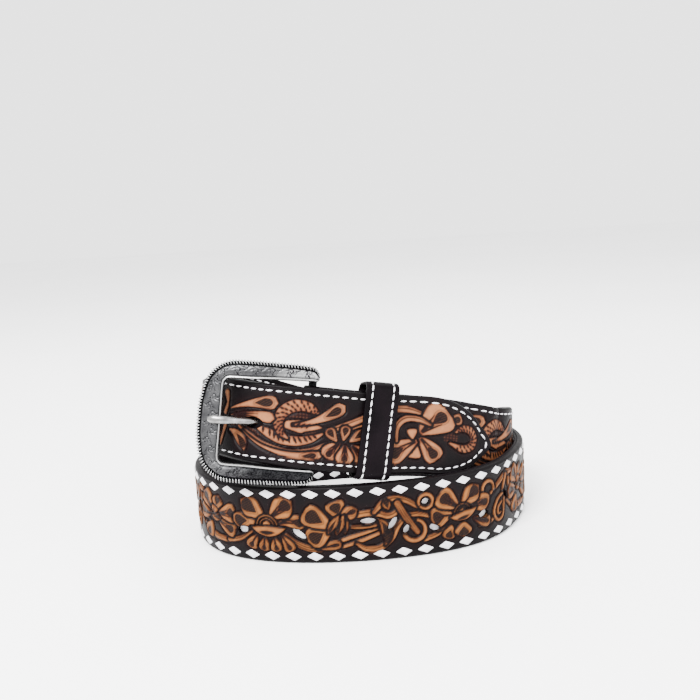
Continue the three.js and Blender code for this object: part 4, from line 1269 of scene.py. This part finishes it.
def makeKeeper():
    half, thick = keeper["width"] / 2, keeper["thick"]
    face = [(-half, -0.7), (-half + 0.12, -0.3), (-half + 0.45, -0.06), (-half + 1.1, 0), (-half + 1.35, -0.12),
            (-half + 1.6, 0), (-half + 2.4, 0), (-half + 2.9, -0.14), (-half + 3.4, 0), (-2.5, 0.08), (0, 0.12)]
    face += [(-x, z) for x, z in face[-2::-1]]
    under = [(half, -thick + 0.4), (half - 0.4, -thick), (0, -thick), (-half + 0.4, -thick),
             (-half, -thick + 0.4)]
    section, rings = face + under, keeper["stations"]
    points = np.array([(x, y, z) for y in np.arange(rings) * loopLength / rings for x, z in section])
    loop = meshPiece("keeper_loop", keeperPlace(*points.T) / metre, ringFaces(rings, len(section), closed=True))
    layOn(outward(loop), plainPlace, ["keeper"], plainDark, 50)
    count = round(loopLength / keeper["pitch"])
    places = [(side * (half - keeper["stitchInset"]), (k + 0.5) * loopLength / count, 0.06, math.pi / 2 + 0.06, 1)
              for side in (-1, 1) for k in range(count)]
    layOn(scatter("keeper_stitches", stitchShape(), places), keeperPlace, [], threadWhite, 60)


makeKeeper()

# Buckle frame: rows from the arm end to the middle of the left band, mirrored for the lower half
frameRows = [  # inner place, outer place
    (4.4, 21.6, 4.6, 23.4), (3, 20.8, 3.4, 26), (0, 20.7, 0, 27.7), (-14, 20.4, -14, 28.2),
    (-27, 19.9, -28.8, 28.4), (-37, 19.8, -38.4, 27.8), (-39.3, 18.9, -45, 24.3),
    (-40.2, 16.6, -49.3, 18.4), (-40.2, 8, -51.6, 9), (-40.2, 0, -52, 0),
]
casting = {"step": 0.3, "lip": 0.4, "rope": 2.3, "fieldFrom": 1.75, "fieldColumns": 30, "beadPitch": 1.45,
           "bead": (0.44, 1.3, 0.85), "beadSlant": 0.36, "beadIn": 0.6, "beadDown": 0.8}


# The loop of the frame, evenly spaced by its outer edge: rows of inner and outer places
def frameLoop():
    rows = [*frameRows, *[(a, -b, c, -d) for a, b, c, d in frameRows[-2::-1]]]
    dense = curveThrough(rows, 1200)
    lengths = runLengths(dense[:, 2:])
    even = np.linspace(0, lengths[-1], int(lengths[-1] / casting["step"]))
    return np.stack([np.interp(even, lengths, v) for v in dense.T], 1), lengths[-1]


loopRows, rimLength = frameLoop()
loopSizes = np.hypot(loopRows[:, 2] - loopRows[:, 0], loopRows[:, 3] - loopRows[:, 1])


# Value of a table of the loop, at a place along the outer rim
def alongLoop(x, values):
    return np.interp(x / rimLength * (len(values) - 1), np.arange(len(values)), values)


# x along the outer rim, y in from the inner edge as a real distance, z from the level of the face
def castPlace(x, y, z):
    row = np.stack([alongLoop(x, v) for v in loopRows.T], 1)
    share = (y / np.hypot(row[:, 2] - row[:, 0], row[:, 3] - row[:, 1]))[:, None]
    spot = row[:, :2] * (1 - share) + row[:, 2:] * share
    return archPlace(spot[:, 0], spot[:, 1], z)


engraving = {"pitch": 4.3, "radius": 1.5, "middle": 3.5, "swing": 1.15, "turns": 500, "curl": 0.75,
             "depth": 0.12,
             "dark": 0.62, "lines": (0.25, 6.9), "lineDepth": 0.1, "lineDark": 0.4, "from": 7, "margin": 4.0}


# Engraved scrollwork in the field: running spirals with leaf cuts between them
def engraveField(sheet):
    def engrave(path, widths):
        pressStroke(sheet, path, widths, engraving["depth"], engraving["dark"])

    for y in engraving["lines"]:
        line = [(engraving["margin"], y), (rimLength - engraving["margin"], y)]
        pressStroke(sheet, line, (0.3, 0.3), engraving["lineDepth"], engraving["lineDark"])
    for k, x in enumerate(np.arange(engraving["from"], rimLength - 6, engraving["pitch"])):
        way = 1 if k % 2 else -1
        y = engraving["middle"] + way * engraving["swing"]
        start = 90 * way
        engrave(ringPath(x, y, engraving["radius"], start, start - way * engraving["turns"], engraving["curl"]),
                (0.3, 0.5, 0.3))
        for j in range(4):
            a = math.radians(start - way * (20 + 50 * j))
            b = a + 0.5 * way
            foot = (x + 1.7 * math.cos(a), y + 1.7 * math.sin(a))
            engrave([foot, (x + 2.9 * math.cos(b), y + 2.9 * math.sin(b))], (0.5, 0.15))
        for j in range(3):
            foot = (x + 1.2 + 0.95 * j, y - way * 1.9)
            engrave([foot, (foot[0] + 1.5, foot[1] - way * 2.0)], (0.45, 0.15))


patinaAndPaintedLight = {"darkReflectionFrom": 0.64, "darkReflectionTo": 0.84, "worn": 0.78, "rubbedAndHighlight": 0.85, "highlightTo": 26, "highlightFrom": 12,
          "field": 0.9, "plain": 0.85}


def makeFrame():
    size = loopSizes[:, None]
    alongLine = np.linspace(0, rimLength, len(loopRows))
    shares = np.linspace(0, 1, casting["fieldColumns"])
    start = np.minimum(casting["fieldFrom"], size * 0.4)
    fieldTo = np.maximum(size - casting["rope"] - 0.1, casting["fieldFrom"] * np.minimum(size / 4, 1) + 0.1)
    across = start + (np.maximum(fieldTo, start + 0.1) - start) * shares
    x = np.broadcast_to(alongLine[:, None], across.shape)
    sheet = {"x": x, "y": across - start, "xLine": alongLine, "z": np.zeros(x.shape), "shade": np.zeros(x.shape)}
    engraveField(sheet)
    front, back, lip = buckle["front"], buckle["back"], casting["lip"]
    full = smooth(3.4, 5.5, size)
    field = front - 0.1 + 0.22 * np.sin(np.pi * shares) + sheet["z"] * full
    fieldDark = sheet["shade"] * full * patinaAndPaintedLight["field"]
    narrow = np.minimum(size / 6, 1)
    inner = [  # in from the edge, height, darkness, rubbed
        (0, back + 0.3, 0.4, 0), (0, front - 1.2, 0.5, 0), (0.12, front - 0.25, 0, 0.6),
        (0.4, front + lip, 0, 1), (0.8, front + lip, 0, 1), (1.15, front + 0.1, 0.1, 0.3),
        (1.4, front - 0.35, 0.95, 0), (1.6, front - 0.2, 0.5, 0),
    ]
    outer = [
        (2.0, front - 0.5, 1, 0), (1.7, front - 0.75, 1, 0), (0.5, front - 0.95, 1, 0),
        (0.12, front - 1.3, 0.9, 0), (0, front - 1.7, 0.6, 0), (0, back + 0.4, 0.4, 0), (0.4, back, 0.4, 0),
    ]
    columns = [(d * narrow, *rest) for d, *rest in inner]
    columns += [(across[:, i:i + 1], field[:, i:i + 1], fieldDark[:, i:i + 1], 0) for i in range(len(shares))]
    columns += [(size - d * narrow, *rest) for d, *rest in outer] + [(0.4 * narrow, back, 0.4, 0)]
    ones = np.ones(size.shape)
    ys, zs, patinaAndDarkReflection, rubsAndHighlight = (np.concatenate([ones * column[i] for column in columns], 1) for i in range(4))
    # Painted dark reflection: the loop is painted darker along the lower arm towards its end, standing in for the
    # dark that the down-facing arm reflects
    worn = smooth(rimLength * patinaAndPaintedLight["darkReflectionFrom"], rimLength * patinaAndPaintedLight["darkReflectionTo"], alongLine)[:, None] * (rubsAndHighlight < 0.5)
    patinaAndDarkReflection = patinaAndDarkReflection + (1 - patinaAndDarkReflection) * patinaAndPaintedLight["worn"] * worn
    # Painted highlight: the first 12 to 26 mm of the loop, the top arm's end, is painted bright
    end = smooth(patinaAndPaintedLight["highlightTo"], patinaAndPaintedLight["highlightFrom"], alongLine)[:, None] * (patinaAndDarkReflection < 0.3)
    rubsAndHighlight = np.maximum(rubsAndHighlight, patinaAndPaintedLight["rubbedAndHighlight"] * end)
    points = castPlace(np.repeat(alongLine, len(columns)), ys.ravel(), zs.ravel()) / metre
    piece = meshPiece("buckle_casting", points, ringFaces(len(alongLine), len(columns)))
    setMarks(piece, patinaAndDarkReflection.ravel(), rubsAndHighlight.ravel())
    layOn(outward(piece), plainPlace, ["buckle_frame"], castSilver, 45)


# Rope edge: small slanting ellipsoids, dark between and bright on top
def makeRope():
    bead = addPrimitive(bpy.ops.mesh.primitive_uv_sphere_add, "bead", segments=8, ring_count=6, radius=1)
    points = flatPoints(bead) * casting["bead"]
    points[:, 0] += points[:, 1] * casting["beadSlant"]
    setPoints(bead, points)
    front, spots = buckle["front"], np.arange(1.2, rimLength - 1.0, casting["beadPitch"])
    places = [(x, size - casting["beadIn"] * min(size / 6, 1), front - casting["beadDown"], 0.0, 1)
              for x, size in zip(spots, alongLoop(spots, loopSizes))]
    rope = scatter("rope_edge", bead, places)
    z = flatPoints(rope)[:, 2]
    setMarks(rope, np.clip((front - 0.35 - z) / 0.8, 0, 1), smooth(front - 0.4, front + 0.05, z))
    layOn(rope, castPlace, [], castSilver, 70)


makeFrame()
makeRope()

upright = (math.pi / 2, 0, 0)  # turns a cylinder to lie across the strap
bar = {"half": 24.5, "edge": 0.35}
lug = {"size": (5.4, 3.9), "at": 23.9, "drop": 2.6, "foot": 0.2, "spread": 1.25, "edge": 1.2}


# Bar between two lugs under the frame's arms
def makeBar():
    rod = addPrimitive(bpy.ops.mesh.primitive_cylinder_add, "buckle_bar", vertices=24, radius=buckle["barRadius"],
                       depth=2 * bar["half"], location=(0, 0, buckle["barDepth"]), rotation=upright)
    pieces = [roundEdges(rod, bar["edge"])]
    low = buckle["barDepth"] - buckle["barRadius"] - lug["foot"]
    high = buckle["back"] + 0.6 - lug["drop"]
    for side, name in ((1, "lug_upper"), (-1, "lug_lower")):
        block = addPrimitive(bpy.ops.mesh.primitive_cube_add, name, scale=(*lug["size"], high - low), size=1,
                             location=(0, side * lug["at"], (low + high) / 2))
        points = flatPoints(block)
        points[:, 0] *= np.where(points[:, 2] > 0, lug["spread"], 1)
        setPoints(block, points)
        pieces.append(roundEdges(block, lug["edge"], 4))
    for piece in pieces:
        # The bar and lugs are darkened all over with the tarnish colour
        setMarks(piece, patinaAndPaintedLight["plain"], 0.0)
        layOn(piece, barPlace, [], castSilver)


# Prong: rows of its middle line on the buckle, its half height and half width
prongRows = [  # along, out, half height, half width
    (-2.7, -1.9, 0.9, 1.3), (-6, -1.9, 1.5, 1.7), (-15, -2.4, 1.6, 1.7), (-20, -2.4, 1.6, 1.7),
    (-23.5, -1.2, 1.6, 1.7), (-29, 2.3, 1.6, 1.7), (-34, 5.6, 1.55, 1.7), (-37.2, 7.6, 1.4, 1.8),
    (-41.4, 8.1, 1.2, 1.9), (-46.2, 7.4, 1.0, 1.95),
]
prong = {"steps": 70, "sides": 18, "square": 0.86, "tipSteps": 5.4, "hinge": 4.0, "hingeWide": 5.0,
         "hingeWall": 1.5,
         "edge": 0.35}


def makeProng():
    path = curveThrough(prongRows, prong["steps"])
    slope = unit(np.gradient(path[:, :2], axis=0))
    a = np.linspace(0, 2 * np.pi, prong["sides"], endpoint=False)
    rise, width = (np.sign(v) * np.abs(v) ** prong["square"] for v in (np.sin(a), np.cos(a)))
    points = []
    for k, ((s, n, high, wide), (ds, dn)) in enumerate(zip(path, slope)):
        tipShare = math.sqrt(1 - max(0.0, (k - 64) / prong["tipSteps"]) ** 2)
        up, side = rise * high * tipShare, width * wide * tipShare
        points.append(np.stack([s - up * dn, s * math.sin(buckle["roll"]) + side, n + up * ds], 1))
    pin = meshPiece("prong_pin", np.concatenate(points), ringFaces(prong["steps"], prong["sides"]))
    layOn(outward(pin), barPlace, ["prong"], pinSilver, 50)
    hinge = addPrimitive(bpy.ops.mesh.primitive_cylinder_add, "prong_hinge", vertices=36, radius=prong["hinge"],
                         depth=prong["hingeWide"], rotation=upright, location=(0, 0, buckle["barDepth"]),
                         end_fill_type="NOTHING")
    applyModifier(hinge, "SOLIDIFY", thickness=prong["hingeWall"], offset=-1)
    layOn(outward(roundEdges(hinge, prong["edge"])), barPlace, [], pinSilver)


# Screw with two heads: a low dome with a driver slot in front, a flat cap behind
screw = {"front": 0.12, "plate": 0.7, "dome": ((0.5, 0.24), (0.8, 0.17), (1.1, 0.1), (1.2, 0.04)),
         "slotAt": 1.45,
         "slot": (1.1, 12, 1.2), "edge": 0.12}
screwParts = [  # name, sides, radius, depth, height of its middle, rounding
    ("_cap", 40, screws["radius"], 0.9, -6.2, 0.3), ("_post", 24, 2.1, 6.2, -2.9, 0.2),
]


def makeScrew(name, at):
    head = addPrimitive(bpy.ops.mesh.primitive_cylinder_add, name + "_head", vertices=40, radius=screws["radius"],
                        depth=screw["plate"], location=(0, 0, screw["plate"] / 2))
    bpy.ops.object.mode_set(mode="EDIT")
    bpy.ops.mesh.select_all(action="DESELECT")
    bpy.ops.object.mode_set(mode="OBJECT")
    for face in head.data.polygons:
        face.select = face.normal.z > 0.9
    bpy.ops.object.mode_set(mode="EDIT")
    for inset, rise in screw["dome"]:
        bpy.ops.mesh.inset(thickness=inset, depth=rise)
    cutter = addPrimitive(bpy.ops.mesh.primitive_cube_add, "driver_slot", scale=screw["slot"], size=1,
                          location=(0, 0, screw["slotAt"]), rotation=(0, 0, 0.5 + at))
    applyModifier(head, "BOOLEAN", operation="DIFFERENCE", object=cutter)
    bpy.data.objects.remove(cutter)
    roundEdges(head, screw["edge"], 2)
    head.data.transform(Matrix.Translation((at, midWidth, screw["front"])))
    layOn(head, strapPlace, [name], pinSilver, 30)
    for part, sides, radius, depth, middle, edge in screwParts:
        piece = addPrimitive(bpy.ops.mesh.primitive_cylinder_add, name + part, vertices=sides, radius=radius,
                             depth=depth, location=(at, midWidth, middle))
        layOn(roundEdges(piece, edge), strapPlace, [], pinSilver, 30)


makeBar()
makeProng()
for name, at in zip(screws["names"], screws["at"]):
    makeScrew(name, at)
print("buckle, prong, keeper and screws ready")

# Floor, light and camera
studio = {"floor": 6.0, "floorColour": (0.95, 0.95, 0.95, 1), "floorShade": (0.915, 0.915, 0.92, 1),
          "floorCloud": (3, 2, 0.3, 0.7), "floorRough": 0.7, "floorHeight": -0.0002, "world": 2.9,
          "aim": (0, 0, 0.04)}
lights = [  # name, place, size, power
    ("key", (-0.45, -0.75, 0.95), (0.5, 0.4), 60), ("fill", (0.8, -0.6, 0.5), (0.7, 0.7), 12),
    ("top", (0.0, 0.35, 1.1), (1.2, 0.8), 20),
]
view = {"place": (-2.4, -421.4, 168.9), "down": 10.5, "roll": 3.5, "focal": 800.0, "sensor": 36.0,
        "frame": 700}


def makeFloor():
    floor = addPrimitive(bpy.ops.mesh.primitive_grid_add, "floor", x_subdivisions=8, y_subdivisions=8,
                         size=studio["floor"], location=(0, 0, studio["floorHeight"]))
    pale, tree, shader = newMaterial("pale_floor")
    cloud = patches(tree, *studio["floorCloud"])
    colour = mixColour(tree, cloud, studio["floorColour"], studio["floorShade"])
    tree.links.new(colour, shader.inputs["Base Color"])
    shader.inputs["Roughness"].default_value = studio["floorRough"]
    floor.data.materials.append(pale)


def softLight(name, place, size, power):
    lamp = bpy.data.lights.new(name, "AREA")
    lamp.shape = "RECTANGLE"
    lamp.size, lamp.size_y = size
    lamp.energy = power
    obj = bpy.data.objects.new(name, lamp)
    bpy.context.collection.objects.link(obj)
    obj.location = place
    x, y, z = np.array(studio["aim"]) - np.array(place)
    obj.rotation_euler = (math.atan2(math.hypot(x, y), -z), 0, math.atan2(y, x) - math.pi / 2)


def makeWorld():
    world = bpy.data.worlds.new("studio")
    world.use_nodes = True
    background = world.node_tree.nodes["Background"]
    background.inputs[0].default_value = (1, 1, 1, 1)
    background.inputs[1].default_value = studio["world"]
    bpy.context.scene.world = world


def makeCamera():
    camera = bpy.data.cameras.new("camera")
    camera.sensor_width = view["sensor"]
    camera.lens = view["focal"] / view["frame"] * view["sensor"]
    camera.clip_start = 0.01
    obj = bpy.data.objects.new("camera", camera)
    bpy.context.collection.objects.link(obj)
    tilt = Matrix.Rotation(math.radians(90 - view["down"]), 4, "X")
    roll = Matrix.Rotation(math.radians(-view["roll"]), 4, "Z")
    obj.matrix_world = Matrix.Translation([v * metre for v in view["place"]]) @ tilt @ roll
    bpy.context.scene.camera = obj


makeFloor()
for row in lights:
    softLight(*row)
makeWorld()
makeCamera()
print("studio ready")
